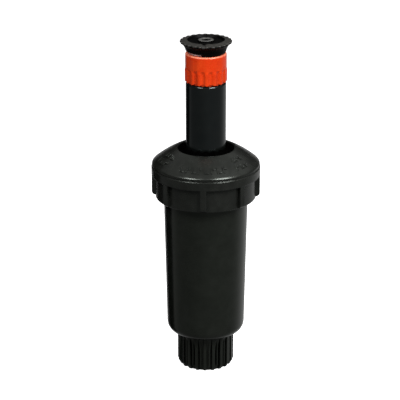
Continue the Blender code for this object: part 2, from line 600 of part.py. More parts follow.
def make_deflector(parent, finish):
    """The nozzle's head: scalloped sloping rim, dished recess, centre boss and a skirt with a ramped edge."""
    flange_top = FLANGE_Z + FLANGE_EDGE
    rim_z = NOZZLE_TOP_Z
    inner_skirt = SKIRT_RADIUS - DEFLECTOR_SKIRT_WALL
    room_z = SKIRT_LOW_Z + HUB_DISC + FIT_GAP
    recess_z = rim_z - RECESS_DEPTH
    head_room = SCREW_HEAD_RADIUS + FIT_GAP
    head_seat = SCREW_TOP_Z - SCREW_HEAD_HEIGHT - THROTTLE_TRAVEL - FIT_GAP
    flare = FLANGE_RADIUS - SKIRT_RADIUS
    outer = [(inner_skirt, SKIRT_LOW_Z), (SKIRT_RADIUS, SKIRT_LOW_Z)]
    for share, drop in ((0.13, 3.6), (0.2, 2.8), (0.36, 1.7), (0.62, 0.6), (0.9, 0.0)):
        outer.append((SKIRT_RADIUS + flare * share, FLANGE_Z - drop))
    outer += [(FLANGE_RADIUS, FLANGE_Z + 0.25), (FLANGE_RADIUS, flange_top - 0.2), (FLANGE_RADIUS - 0.4, flange_top)]
    outer += [(RECESS_RADIUS + 0.3, rim_z), (RECESS_RADIUS - 0.3, recess_z), (BOSS_RADIUS, recess_z - 0.1)]
    outer += [(BOSS_RADIUS, BOSS_Z - 0.2), (BOSS_RADIUS - 0.2, BOSS_Z), (head_room, BOSS_Z)]
    inner = [(head_room, head_seat), (HUB_BORE_RADIUS, head_seat), (HUB_BORE_RADIUS, room_z), (inner_skirt, room_z)]
    pitch = 360.0 / SCALLOPS

    def warp(radius, height, turn):
        if radius > FLANGE_RADIUS - 0.5:
            wave = math.cos(math.radians(turn / pitch * 360.0))
            return radius - SCALLOP_DEPTH * (1 - wave) / 2, height
        if height < SKIRT_LOW_Z + 1e-3:
            return radius, height + arc_gap(turn)
        return radius, height

    return lathe("deflector", outer + inner, SCALLOPS * 2, parent, finish, warp)


def make_hub(parent, finish):
    """The light hub: a disc behind the arc slot, on a bored stem that stands in the base."""
    low = COLLAR_Z + 1.0
    disc_top = SKIRT_LOW_Z + HUB_DISC
    profile = [(HUB_BORE_RADIUS, low), (HUB_STEM_RADIUS, low), (HUB_STEM_RADIUS, SKIRT_LOW_Z)]
    profile += [(HUB_DISC_RADIUS - 0.2, SKIRT_LOW_Z), (HUB_DISC_RADIUS, SKIRT_LOW_Z + 0.2)]
    profile += [(HUB_DISC_RADIUS, disc_top), (HUB_BORE_RADIUS, disc_top)]
    return lathe("nozzle_hub", profile, SEGMENTS_MEDIUM, parent, finish)


def make_screw(parent, finish):
    """The radius screw: slotted cheese head, shank through the nozzle and a thin neck that holds the throttle."""
    head_low = SCREW_TOP_Z - SCREW_HEAD_HEIGHT
    foot_z = SCREW_NECK_Z - THROTTLE_LENGTH + THROTTLE_FLOOR
    profile = [(0.0, foot_z), (SCREW_NECK_RADIUS, foot_z), (SCREW_NECK_RADIUS, SCREW_NECK_Z)]
    profile += [(SCREW_RADIUS, SCREW_NECK_Z + 0.4), (SCREW_RADIUS, head_low), (SCREW_HEAD_RADIUS, head_low)]
    profile += [(SCREW_HEAD_RADIUS, SCREW_TOP_Z - 0.3), (SCREW_HEAD_RADIUS - 0.3, SCREW_TOP_Z), (0.0, SCREW_TOP_Z)]
    screw = lathe("radius_screw", profile, SEGMENTS_SMALL, parent, finish)
    slot = bmesh.new()
    reach = SCREW_HEAD_RADIUS + 1.0
    slot_low = SCREW_TOP_Z - SCREW_SLOT_DEPTH
    add_box(slot, facing(SCREW_SLOT_TURN_DEG), -reach, reach, SCREW_SLOT, slot_low, SCREW_TOP_Z + 1.0)
    combine(screw, slot, "DIFFERENCE", "driver_slot")
    return screw


def make_throttle(parent, finish):
    """The plug on the screw's tip, which chokes the flow above the filter."""
    top = SCREW_NECK_Z - FIT_GAP
    low = top - THROTTLE_LENGTH
    bore = SCREW_NECK_RADIUS + FIT_GAP
    bore_low = low + THROTTLE_FLOOR
    profile = [(0.0, low), (1.2, low), (THROTTLE_RADIUS, low + 1.4), (THROTTLE_RADIUS, top - 0.3)]
    profile += [(THROTTLE_RADIUS - 0.3, top), (bore, top), (bore, bore_low), (0.0, bore_low)]
    return lathe("throttle_plug", profile, SEGMENTS_SMALL, parent, finish)


def make_screen(parent, frame_finish, mesh_finish):
    """The filter basket under the nozzle: a top ring, four ribs and a floor, round a fine mesh sleeve."""
    foot = SCREEN_TOP_Z - SCREEN_LENGTH
    ring_low = SCREEN_TOP_Z - SCREEN_RING
    bore = SCREEN_RADIUS - 1.7
    ring_radius = RISER_BORE_RADIUS - FIT_GAP
    low_top = foot + SCREEN_FLOOR + 1.0
    ring = [(bore, ring_low), (SCREEN_RADIUS, ring_low), (ring_radius, ring_low + 0.6)]
    ring += [(ring_radius, SCREEN_TOP_Z), (bore, SCREEN_TOP_Z)]
    frame = lathe("screen_frame", ring, SEGMENTS_SMALL, parent, frame_finish)
    cup = [(0.0, foot), (SCREEN_RADIUS - 0.5, foot), (SCREEN_RADIUS, foot + 0.5), (SCREEN_RADIUS, low_top)]
    cup += [(SCREEN_RADIUS - 0.7, low_top), (SCREEN_RADIUS - 0.7, foot + SCREEN_FLOOR), (0.0, foot + SCREEN_FLOOR)]
    combine(frame, spun(cup, SEGMENTS_SMALL), "UNION", "floor")
    ribs = bmesh.new()
    for index in range(SCREEN_RIBS):
        direction = facing(45.0 + index * 360.0 / SCREEN_RIBS)
        low = foot + SCREEN_FLOOR - 0.3
        add_box(ribs, direction, SCREEN_RADIUS - 0.6, SCREEN_RADIUS - 0.05, SCREEN_RIB_WIDTH, low, ring_low + 0.3)
    combine(frame, ribs, "UNION", "ribs")
    sleeve_out = SCREEN_RADIUS - 0.7 - FIT_GAP
    sleeve_in = sleeve_out - MESH_THICKNESS
    low = foot + SCREEN_FLOOR + FIT_GAP
    high = ring_low - FIT_GAP
    sleeve = [(sleeve_in, low), (sleeve_out, low), (sleeve_out, high), (sleeve_in, high)]
    lathe("screen_mesh", sleeve, SEGMENTS_SMALL, parent, mesh_finish)


def main():
    """Clear the scene, then build every piece under the empty of the joint that carries it."""
    for obj in list(bpy.data.objects):
        bpy.data.objects.remove(obj, do_unlink=True)
    case_black = material("case_black", (0.02, 0.021, 0.02), 0.42)
    cap_black = material("cap_black", (0.022, 0.023, 0.022), 0.38)
    riser_black = material("riser_black", (0.015, 0.016, 0.016), 0.3)
    nozzle_black = material("nozzle_black", (0.018, 0.018, 0.017), 0.4)
    rubber_black = material("seal_rubber", (0.012, 0.012, 0.012), 0.7)
    collar_orange = material("collar_orange", (0.83, 0.06, 0.015), 0.35)
    hub_white = material("hub_white", (0.72, 0.68, 0.66), 0.4)
    acetal_grey = material("acetal_grey", (0.3, 0.31, 0.32), 0.45)
    mesh_grey = material("mesh_grey", (0.4, 0.4, 0.38), 0.5)
    spring_steel = material("spring_steel", (0.6, 0.6, 0.6), 0.25, 1.0)
    screw_steel = material("screw_steel", (0.55, 0.55, 0.56), 0.3, 1.0)

    cap_lift = joint_empty("cap_lift_axis", SKIRT_Z)
    cap_turn = joint_empty("cap_turn_axis", SKIRT_Z)
    riser_slide = joint_empty("riser_slide_axis", FOOT_Z)
    riser_turn = joint_empty("riser_turn_axis", FOOT_Z)
    arc_turn = joint_empty("arc_turn_axis", COLLAR_Z)
    throttle_slide = joint_empty("throttle_slide_axis", BASE_FOOT_Z)
    screw_turn = joint_empty("screw_turn_axis", BASE_FOOT_Z)

    make_case(case_black)
    make_cap(cap_turn, cap_black)
    make_seal_group(cap_lift, rubber_black, acetal_grey)
    make_spring(spring_steel)
    make_riser_foot(riser_slide, riser_turn, acetal_grey, riser_black)
    make_riser(riser_turn, riser_black)
    ring_profile = make_nozzle_base(riser_turn, nozzle_black)
    lathe("collar_seal_ring", ring_profile, SEGMENTS_SMALL, riser_turn, rubber_black)
    make_collar(arc_turn, collar_orange)
    make_deflector(riser_turn, nozzle_black)
    make_hub(riser_turn, hub_white)
    make_screw(screw_turn, screw_steel)
    make_throttle(throttle_slide, acetal_grey)
    make_screen(riser_turn, nozzle_black, mesh_grey)


if __name__ == "__main__":
    main()
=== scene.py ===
"""Pop-up spray sprinkler: the finished look of every piece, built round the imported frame.

Sizes are in millimetres until a mesh is made, and heights come from the frame's own pieces. Turned pieces are
revolved from rounded profiles. Flutes, threads, lugs, coils and the filter's weave are Geometry Nodes.
The front of the head, where the nozzle's pointer is, faces -Y.
"""

import logging
import math
from collections.abc import Callable, Sequence
from dataclasses import dataclass, field
from enum import Enum

import bmesh
import bpy
from bmesh.types import BMesh, BMVert
from mathutils import Matrix, Vector


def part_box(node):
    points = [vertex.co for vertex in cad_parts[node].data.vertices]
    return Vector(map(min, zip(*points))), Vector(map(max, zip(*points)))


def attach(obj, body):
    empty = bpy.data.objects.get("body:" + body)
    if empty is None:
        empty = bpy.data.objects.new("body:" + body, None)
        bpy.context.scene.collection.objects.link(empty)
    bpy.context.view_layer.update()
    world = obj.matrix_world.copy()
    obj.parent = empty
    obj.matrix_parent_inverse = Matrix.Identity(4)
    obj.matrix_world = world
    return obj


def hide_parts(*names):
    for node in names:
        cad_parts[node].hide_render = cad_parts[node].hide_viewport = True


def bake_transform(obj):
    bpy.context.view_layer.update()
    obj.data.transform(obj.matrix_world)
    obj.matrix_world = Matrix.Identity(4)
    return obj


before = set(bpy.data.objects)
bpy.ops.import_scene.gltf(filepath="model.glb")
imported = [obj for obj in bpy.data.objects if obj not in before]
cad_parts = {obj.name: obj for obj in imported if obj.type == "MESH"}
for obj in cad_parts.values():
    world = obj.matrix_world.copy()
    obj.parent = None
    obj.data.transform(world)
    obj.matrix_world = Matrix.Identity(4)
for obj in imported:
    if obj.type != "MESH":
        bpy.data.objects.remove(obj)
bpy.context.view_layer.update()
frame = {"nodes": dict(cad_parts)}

logging.basicConfig(level=logging.INFO, format="%(message)s")
log = logging.getLogger("sprinkler")

MM = 0.001
STRAIGHT = 0.02  # corners that turn by less than this, in radians, are left alone
HALF_EDGE, WHOLE_EDGE = 0.49, 0.98  # what share of an edge a round may take, beside another round or alone
SHARED_KINDS = ("Math", "MapRange", "SeparateXYZ", "CombineXYZ")  # node kinds that every sort of tree takes
SMOOTH = {"interpolation_type": "SMOOTHSTEP"}

Piece = bpy.types.Object
Socket = bpy.types.NodeSocket
Tree = bpy.types.GeometryNodeTree
Point = tuple[float, float]
Warp = Callable[[float, float, float], Point]


# ------------------------------------------------------------------------------------------ small helpers
def linear(hex_colour: str) -> tuple[float, float, float, float]:
    """Turn an sRGB hex colour into the linear colour that a shader takes.

    Args:
        hex_colour: six hex digits, with or without a leading hash.

    Returns:
        Linear red, green, blue and an alpha of one.
    """
    digits = hex_colour.lstrip("#")
    channels = [int(digits[i : i + 2], 16) / 255.0 for i in (0, 2, 4)]
    bent = [c / 12.92 if c <= 0.04045 else ((c + 0.055) / 1.055) ** 2.4 for c in channels]
    return (bent[0], bent[1], bent[2], 1.0)


def facing(turn_deg: float) -> Vector:
    """Give the unit vector in the floor plane, turned from the front (-Y) towards +X."""
    angle = math.radians(turn_deg)
    return Vector((math.sin(angle), -math.cos(angle), 0.0))


def span(node: str) -> Point:
    """Give the lowest and highest point of a frame piece, in millimetres."""
    low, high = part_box(node)
    return low.z / MM, high.z / MM


@dataclass(frozen=True)
class Corner:
    """One corner of a turned profile, rounded by a radius."""

    r: float
    z: float
    soft: float = 0.0


def rounded(corners: Sequence[Corner], closed: bool = True, step_deg: float = 18.0) -> list[Point]:
    """Round the corners of a profile.

    Args:
        corners: the profile's corners in order.
        closed: whether the last corner joins the first.
        step_deg: the largest turn between two points of a round.

    Returns:
        Points of (radius, height) in millimetres.
    """
    points: list[Point] = []
    places = [Vector((corner.r, corner.z)) for corner in corners]
    count = len(corners)
    for index, corner in enumerate(corners):
        here, following = places[index], (index + 1) % count
        before, after = places[index - 1] - here, places[following] - here
        u, v = before.normalized(), after.normalized()
        inside = math.acos(max(-1.0, min(1.0, u.dot(v))))
        at_end = not closed and index in (0, count - 1)
        if corner.soft <= 0.0 or at_end or inside > math.pi - STRAIGHT:
            points.append((here.x, here.y))
            continue
        room_before = before.length * (HALF_EDGE if corners[index - 1].soft > 0.0 else WHOLE_EDGE)
        room_after = after.length * (HALF_EDGE if corners[following].soft > 0.0 else WHOLE_EDGE)
        reach = min(corner.soft / math.tan(inside / 2), room_before, room_after)
        centre = here + (u + v).normalized() * (reach / math.cos(inside / 2))
        start, end = here + u * reach - centre, here + v * reach - centre
        sweep = math.copysign(math.pi - inside, start.cross(end))
        steps = max(2, math.ceil(math.degrees(abs(sweep)) / step_deg))
        for step in range(steps + 1):
            angle = sweep * step / steps
            c, s = math.cos(angle), math.sin(angle)
            points.append((centre.x + c * start.x - s * start.y, centre.y + s * start.x + c * start.y))
    return points


def link(name: str, mesh: bpy.types.Mesh) -> Piece:
    """Put a mesh in the scene under a name."""
    obj = bpy.data.objects.new(name, mesh)
    bpy.context.scene.collection.objects.link(obj)
    return obj


def smooth(obj: Piece, sharp_deg: float = 40.0) -> Piece:
    """Shade a piece smooth, with its true edges kept sharp and its flats kept flat.

    Args:
        obj: a mesh object.
        sharp_deg: edges that turn by more than this stay sharp.

    Returns:
        The same object.
    """
    obj.data.shade_smooth()
    obj.data.set_sharp_from_angle(angle=math.radians(sharp_deg))
    flats = obj.modifiers.new("flats", "WEIGHTED_NORMAL")
    flats.keep_sharp = True
    return settle(obj)


def settle(obj: Piece) -> Piece:
    """Replace a piece's mesh with what its modifiers make of it, and take the modifiers away."""
    graph = bpy.context.evaluated_depsgraph_get()
    made = bpy.data.meshes.new_from_object(obj.evaluated_get(graph), depsgraph=graph)
    obj.modifiers.clear()
    obj.data = made
    made.name = obj.name
    return obj


def revolve(
    name: str, profile: Sequence[Point], segments: int = 192, closed: bool = True, warp: Warp | None = None
) -> Piece:
    """Revolve a profile about Z into a closed mesh with its faces outward.

    Args:
        name: the piece's name.
        profile: points of (radius, height) in millimetres.
        segments: how many facets go round.
        closed: whether the profile is a loop; an open one starts and ends on the axis.
        warp: may move a point, given its radius, height and turn in degrees.

    Returns:
        The new object.
    """
    bm = bmesh.new()
    rows: list[list[BMVert]] = []
    for radius, height in profile:
        row: list[BMVert] = []
        for index in range(segments if radius > 1e-6 else 1):
            turn = 360.0 * index / segments
            r, z = warp(radius, height, turn) if warp and radius > 1e-6 else (radius, height)
            row.append(bm.verts.new(facing(turn) * (r * MM) + Vector((0.0, 0.0, z * MM))))
        rows.append(row)
    pairs = list(zip(rows, rows[1:])) + ([(rows[-1], rows[0])] if closed else [])
    for first, second in pairs:
        for index in range(segments):
            following = (index + 1) % segments
            ring = [first[index % len(first)], first[following % len(first)]]
            ring += [second[following % len(second)], second[index % len(second)]]
            corners = list(dict.fromkeys(ring))
            if len(corners) > 2:
                bm.faces.new(corners)
    bmesh.ops.recalc_face_normals(bm, faces=bm.faces)
    mesh = bpy.data.meshes.new(name)
    bm.to_mesh(mesh)
    bm.free()
    return link(name, mesh)


def prism(bm: BMesh, outline: Sequence[Vector], lift: Callable[[Vector], Vector]) -> None:
    """Add a closed block to a bmesh: an outline, and the same outline moved by a function of each corner."""
    low = [bm.verts.new(p) for p in outline]
    high = [bm.verts.new(lift(p)) for p in outline]
    bm.faces.new(low[::-1])
    bm.faces.new(high)
    for index in range(len(low)):
        following = (index + 1) % len(low)
        bm.faces.new((low[index], low[following], high[following], high[index]))


def mesh_object(name: str, bm: BMesh, bevel_mm: float = 0.0, segments: int = 2) -> Piece:
    """Make an object of a bmesh in metres, with its edges broken by a bevel.

    Args:
        name: the piece's name.
        bm: the mesh, which is freed.
        bevel_mm: width of the bevel, or zero for none.
        segments: facets across the bevel.

    Returns:
        The new object.
    """
    bmesh.ops.recalc_face_normals(bm, faces=bm.faces)
    mesh = bpy.data.meshes.new(name)
    bm.to_mesh(mesh)
    bm.free()
    obj = link(name, mesh)
    if bevel_mm > 0.0:
        broken = obj.modifiers.new("broken_edges", "BEVEL")
        broken.width = bevel_mm * MM
        broken.segments = segments
        broken.limit_method = "ANGLE"
        broken.angle_limit = math.radians(30.0)
        settle(obj)
    return obj


# ------------------------------------------------------------------------------------------ node trees
class Wiring:
    """A node tree under construction, with small calls that add its nodes."""

    prefix = "ShaderNode"

    def __init__(self, tree: bpy.types.NodeTree) -> None:
        """Take the tree to build in."""
        self.tree = tree

    def add(self, kind: str, links: dict | None = None, **settings: object) -> bpy.types.Node:
        """Add a node with settings and links.

        Args:
            kind: the node's type name without the tree's prefix, then a colon and the operation, if any.
            links: input name or number to a socket or a plain value.
            settings: attributes of the node.

        Returns:
            The new node.
        """
        kind, _, operation = kind.partition(":")
        node = self.tree.nodes.new(("ShaderNode" if kind in SHARED_KINDS else self.prefix) + kind)
        if operation:
            node.operation = operation
        for key, value in settings.items():
            setattr(node, key, value)
        for key, value in (links or {}).items():
            if isinstance(value, Socket):
                self.tree.links.new(value, node.inputs[key])
            else:
                node.inputs[key].default_value = value
        return node

    def out(self, kind: str, *values: object, **settings: object) -> Socket:
        """Add a node whose inputs take the values in order, and return its first output."""
        return self.add(kind, dict(enumerate(values)), **settings).outputs[0]


class Recipe(Wiring):
    """A Geometry Nodes tree under construction, with named inputs for its sizes."""

    prefix = "GeometryNode"

    def __init__(self, name: str) -> None:
        """Start an empty tree with a geometry input and output."""
        super().__init__(bpy.data.node_groups.new(name, "GeometryNodeTree"))
        self.tree.interface.new_socket("Geometry", in_out="INPUT", socket_type="NodeSocketGeometry")
        self.tree.interface.new_socket("Geometry", in_out="OUTPUT", socket_type="NodeSocketGeometry")
        self.start = self.tree.nodes.new("NodeGroupInput")
        self.end = self.tree.nodes.new("NodeGroupOutput")

    def given(self, name: str, kind: str = "NodeSocketFloat") -> Socket:
        """Add a named input and return its socket inside the tree."""
        self.tree.interface.new_socket(name, in_out="INPUT", socket_type=kind)
        return self.start.outputs[name]

    def finish(self, geometry: Socket) -> Tree:
        """End the tree with Realize Instances and Set Material, and return it."""
        finish = self.given("Finish", "NodeSocketMaterial")
        real = self.add("RealizeInstances", {"Geometry": geometry})
        dressed = self.add("SetMaterial", {"Geometry": real.outputs[0], "Material": finish})
        self.tree.links.new(dressed.outputs[0], self.end.inputs[0])
        return self.tree


def grow(obj: Piece, tree: Tree, sizes: dict[str, object]) -> Piece:
    """Run a tree on a piece and keep the plain mesh that it makes.

    Args:
        obj: the piece to start from.
        tree: a finished recipe.
        sizes: the tree's inputs by name; lengths are in metres and angles in radians.

    Returns:
        The same object with its new mesh.
    """
    run = obj.modifiers.new("recipe", "NODES")
    run.node_group = tree
    for item in tree.interface.items_tree:
        if item.item_type == "SOCKET" and item.in_out == "INPUT" and item.name in sizes:
            run[item.identifier] = sizes[item.name]
    return settle(obj)


def empty_piece(name: str) -> Piece:
    """Make an object with an empty mesh, for a tree that makes its own geometry."""
    return link(name, bpy.data.meshes.new(name))


def flute_recipe() -> Tree:
    """Build the tree that cuts grooves round a turned piece down to a root radius, between two heights."""
    make = Recipe("flutes")
    count, root = make.given("Count"), make.given("Root")
    land, flank, phase = make.given("Land"), make.given("Flank"), make.given("Phase")
    low, high, fade = make.given("Low"), make.given("High"), make.given("Fade")
    least = make.given("Least Radius")
    x, y, z = make.add("SeparateXYZ", {0: make.out("InputPosition")}).outputs
    square = make.out("Math:ADD", make.out("Math:MULTIPLY", x, x), make.out("Math:MULTIPLY", y, y))
    radius = make.out("Math:SQRT", square)
    turn = make.out("Math:ARCTAN2", x, make.out("Math:MULTIPLY", y, -1.0))
    pitches = make.out("Math:MULTIPLY", make.out("Math:SUBTRACT", turn, phase), count)
    cells = make.out("Math:DIVIDE", pitches, math.tau)
    from_middle = make.out("Math:SUBTRACT", make.out("Math:FRACT", make.out("Math:ADD", cells, 0.5)), 0.5)
    away = make.out("Math:MULTIPLY", make.out("Math:ABSOLUTE", from_middle), 2.0)
    flank_start, flank_end = make.out("Math:SUBTRACT", land, flank), make.out("Math:ADD", land, flank)
    cut = make.out("MapRange", away, flank_start, flank_end, 0.0, 1.0, **SMOOTH)
    above = make.out("MapRange", z, make.out("Math:SUBTRACT", low, fade), low, 0.0, 1.0, **SMOOTH)
    below = make.out("MapRange", z, high, make.out("Math:ADD", high, fade), 1.0, 0.0, **SMOOTH)
    reached = make.out("Math:MULTIPLY", cut, make.out("Math:GREATER_THAN", radius, least))
    share = make.out("Math:MULTIPLY", reached, make.out("Math:MULTIPLY", above, below))
    depth = make.out("Math:MAXIMUM", make.out("Math:SUBTRACT", radius, root), 0.0)
    shrink = make.out("Math:DIVIDE", make.out("Math:MULTIPLY", depth, share), radius)
    scale = make.out("Math:SUBTRACT", 1.0, shrink)
    new_x, new_y = make.out("Math:MULTIPLY", x, scale), make.out("Math:MULTIPLY", y, scale)
    moved = make.out("CombineXYZ", new_x, new_y, z)
    result = make.add("SetPosition", {"Geometry": make.start.outputs["Geometry"], "Position": moved})
    return make.finish(result.outputs[0])


def round_recipe() -> Tree:
    """Build the tree that repeats a piece round the axis."""
    make = Recipe("repeat_round")
    count, phase = make.given("Count", "NodeSocketInt"), make.given("Phase")
    line = make.add("MeshLine", {"Count": count, "Offset": (0.0, 0.0, 0.0)})
    step = make.out("Math:DIVIDE", math.tau, count)
    angle = make.out("Math:ADD", make.out("Math:MULTIPLY", make.out("InputIndex"), step), phase)
    spin = make.out("CombineXYZ", 0.0, 0.0, angle)
    links = {"Points": line.outputs[0], "Instance": make.start.outputs["Geometry"], "Rotation": spin}
    return make.finish(make.add("InstanceOnPoints", links).outputs[0])


def coil_recipe() -> Tree:
    """Build the tree that winds a wire or a thread ridge, with closed-up turns at both ends."""
    make = Recipe("coil")
    radius, low, high = make.given("Radius"), make.given("Low"), make.given("High")
    turns, closed, closed_rise = make.given("Turns"), make.given("Closed Turns"), make.given("Closed Rise")
    wire, flat, start = make.given("Wire Radius"), make.given("Flatness"), make.given("Start")
    sides, steps = make.given("Sides", "NodeSocketInt"), make.given("Steps", "NodeSocketInt")
    line = make.add("CurvePrimitiveLine", {"Start": (0.0, 0.0, 0.0), "End": (0.0, 0.0, 1.0)})
    path = make.add("ResampleCurve", {"Curve": line.outputs[0], "Count": steps})
    along = make.out("Math:MULTIPLY", make.add("SplineParameter").outputs["Factor"], turns)
    spare = make.out("Math:SUBTRACT", turns, closed)
    first = make.out("Math:MINIMUM", along, closed)
    last = make.out("Math:MAXIMUM", make.out("Math:SUBTRACT", along, spare), 0.0)
    ends = make.out("Math:MULTIPLY", make.out("Math:ADD", first, last), closed_rise)
    middle = make.out("Math:SUBTRACT", make.out("Math:MINIMUM", along, spare), first)
    open_turns = make.out("Math:SUBTRACT", spare, closed)
    used = make.out("Math:MULTIPLY", make.out("Math:MULTIPLY", closed, closed_rise), 2.0)
    spare_rise = make.out("Math:SUBTRACT", make.out("Math:SUBTRACT", high, low), used)
    open_rise = make.out("Math:DIVIDE", spare_rise, open_turns)
    risen = make.out("Math:ADD", ends, make.out("Math:MULTIPLY", middle, open_rise))
    height = make.out("Math:ADD", low, risen)
    angle = make.out("Math:ADD", make.out("Math:MULTIPLY", along, math.tau), start)
    x = make.out("Math:MULTIPLY", make.out("Math:SINE", angle), radius)
    y = make.out("Math:MULTIPLY", make.out("Math:COSINE", angle), make.out("Math:MULTIPLY", radius, -1.0))
    place = make.out("CombineXYZ", x, y, height)
    bent = make.add("SetPosition", {"Geometry": path.outputs[0], "Position": place})
    upright = make.add("SetCurveNormal", {0: bent.outputs[0]}, mode="Z_UP")
    ring = make.add("CurvePrimitiveCircle", {"Resolution": sides, "Radius": wire}, mode="RADIUS")
    squeeze = make.out("CombineXYZ", flat, 1.0, 1.0)
    section = make.add("Transform", {"Geometry": ring.outputs[0], "Scale": squeeze})
    links = {"Curve": upright.outputs[0], "Profile Curve": section.outputs[0], "Fill Caps": True}
    return make.finish(make.add("CurveToMesh", links).outputs[0])


def weave_recipe() -> Tree:
    """Build the tree that makes a sleeve of fine wires, upright and round, between two heights."""
    make = Recipe("woven_sleeve")
    radius, low, high = make.given("Radius"), make.given("Low"), make.given("High")
    wires, rows = make.given("Wires", "NodeSocketInt"), make.given("Rows", "NodeSocketInt")
    wire = make.given("Wire Radius")
    tall = make.out("Math:SUBTRACT", high, low)
    sizes = {"Vertices": wires, "Side Segments": rows, "Radius": radius, "Depth": tall}
    tube = make.add("MeshCylinder", sizes, fill_type="NONE")
    middle = make.out("Math:DIVIDE", make.out("Math:ADD", low, high), 2.0)
    lift = make.out("CombineXYZ", 0.0, 0.0, middle)
    placed = make.add("Transform", {"Geometry": tube.outputs["Mesh"], "Translation": lift})
    net = make.add("MeshToCurve", {"Mesh": placed.outputs[0]})
    section = make.add("CurvePrimitiveCircle", {"Resolution": 4, "Radius": wire}, mode="RADIUS")
    links = {"Curve": net.outputs[0], "Profile Curve": section.outputs[0], "Fill Caps": True}
    return make.finish(make.add("CurveToMesh", links).outputs[0])


# ------------------------------------------------------------------------------------------ finishes
class Shader(Wiring):
    """A material under construction: one Principled shader and the nodes that feed it."""

    def __init__(self, name: str) -> None:
        """Start a material with a bare Principled shader."""
        self.material = bpy.data.materials.new(name)
        self.material.use_nodes = True
        super().__init__(self.material.node_tree)
        self.body = self.tree.nodes["Principled BSDF"]

    def noise(self, size_mm: float, detail: float = 2.0, stretch: Sequence[float] = (1, 1, 1)) -> Socket:
        """Add noise with features of a real size.

        Args:
            size_mm: how wide a feature is, in millimetres.
            detail: octaves of finer noise.
            stretch: share of that scale along each axis.

        Returns:
            The noise value, from zero to one.
        """
        place = self.add("TexCoord").outputs["Object"]
        scaled = self.add("Mapping", {"Vector": place, "Scale": tuple(s / (size_mm * MM) for s in stretch)})
        links = {"Vector": scaled.outputs[0], "Scale": 1.0, "Detail": detail, "Roughness": 0.55}
        return self.add("TexNoise", links).outputs["Fac"]

    def blend(self, value: Socket, low: float, high: float, first: str, second: str) -> Socket:
        """Give a colour that goes from one sRGB hex colour to another as a value goes from low to high."""
        share = self.out("MapRange", value, low, high, 0.0, 1.0)
        return self.add("Mix", {0: share, 6: linear(first), 7: linear(second)}, data_type="RGBA").outputs[2]

    def zone(self, radius_mm: float, height_mm: float, fade_mm: float) -> Socket:
        """Give one outside a radius and above a height, zero elsewhere, faded over a width in millimetres."""
        x, y, z = self.add("SeparateXYZ", {0: self.add("TexCoord").outputs["Object"]}).outputs
        square = self.out("Math:ADD", self.out("Math:MULTIPLY", x, x), self.out("Math:MULTIPLY", y, y))
        radius = self.out("Math:SQRT", square)
        passed: list[Socket] = []
        for value, limit in ((radius, radius_mm), (z, height_mm)):
            low, high = (limit - fade_mm / 2) * MM, (limit + fade_mm / 2) * MM
            passed.append(self.out("MapRange", value, low, high, 0.0, 1.0, **SMOOTH))
        return self.out("Math:MULTIPLY", *passed)

    def relief(self, heights: Sequence[tuple[Socket, float]]) -> None:
        """Stack bumps on the surface, each with its height in millimetres."""
        normal: Socket | None = None
        for value, height_mm in heights:
            links: dict = {"Height": value, "Strength": 1.0, "Distance": height_mm * MM}
            if normal is not None:
                links["Normal"] = normal
            normal = self.add("Bump", links).outputs[0]
        if normal is not None:
            self.tree.links.new(normal, self.body.inputs["Normal"])

    def set(self, **values: object) -> None:
        """Set or link the shader's own sockets, named with underscores for spaces."""
        for key, value in values.items():
            socket = self.body.inputs[key.replace("_", " ")]
            if isinstance(value, Socket):
                self.tree.links.new(value, socket)
            else:
                socket.default_value = value


FLOW_HEIGHT = 0.006  # of the long waves that the plastic's flow leaves, in millimetres


@dataclass(frozen=True)
class WearAndPaintedLightZone:
    """Where a turned piece is painted paler, outside a radius and near its top, in millimetres: painted light
    where the top catches the light, with wear as well on some pieces.
    """

    colour: str
    radius: float
    node: str
    drop: float
    fade: float
    shine: float


@dataclass(frozen=True)
class MouldedPlastic:
    """Injection-moulded plastic: a faint spark-eroded grain, uneven gloss and a slight bloom on its colour.

    Grain sizes and heights are in millimetres. The bloom is the paler colour that handling leaves.
    """

    name: str
    deep: str
    bloom: str
    gloss_low: float
    gloss_high: float
    grain_mm: float = 0.35
    grain_height: float = 0.004
    subsurface: float = 0.0
    specular: float = 0.5
    sheen: str = "#ffffff"
    wear_and_painted_light: WearAndPaintedLightZone | None = None

    def make(self) -> bpy.types.Material:
        """Build the material."""
        shader = Shader(self.name)
        cloud = shader.noise(14.0, 3.0)
        patches = shader.noise(4.0, 4.0)
        grain = shader.noise(self.grain_mm, 2.0)
        flow = shader.noise(6.0, 2.0, (1.0, 1.0, 0.25))
        mixed = shader.out("Math:MULTIPLY", cloud, patches)
        colour = shader.blend(mixed, 0.12, 0.4, self.deep, self.bloom)
        gloss = shader.out("MapRange", patches, 0.3, 0.7, self.gloss_low, self.gloss_high)
        shine: object = self.specular
        if self.wear_and_painted_light is not None:
            share = shader.zone(self.wear_and_painted_light.radius, span(self.wear_and_painted_light.node)[1] - self.wear_and_painted_light.drop, self.wear_and_painted_light.fade)
            spots = shader.out("MapRange", shader.noise(1.1, 3.0), 0.3, 0.6, 0.35, 1.0)
            # Pale near the top: painted light, with wear as well on some pieces.
            wear_and_light_share = shader.out("Math:MULTIPLY", share, spots)
            pale = {0: wear_and_light_share, 6: colour, 7: linear(self.wear_and_painted_light.colour)}
            colour = shader.add("Mix", pale, data_type="RGBA").outputs[2]
            shine = shader.out("MapRange", share, 0.0, 1.0, self.specular, self.wear_and_painted_light.shine)
        shader.set(Base_Color=colour, Roughness=gloss, Specular_IOR_Level=shine)
        shader.set(Specular_Tint=linear(self.sheen))
        if self.subsurface > 0.0:
            shader.set(Subsurface_Weight=self.subsurface, Subsurface_Scale=0.6 * MM)
        shader.relief([(flow, FLOW_HEIGHT), (grain, self.grain_height)])
        return shader.material


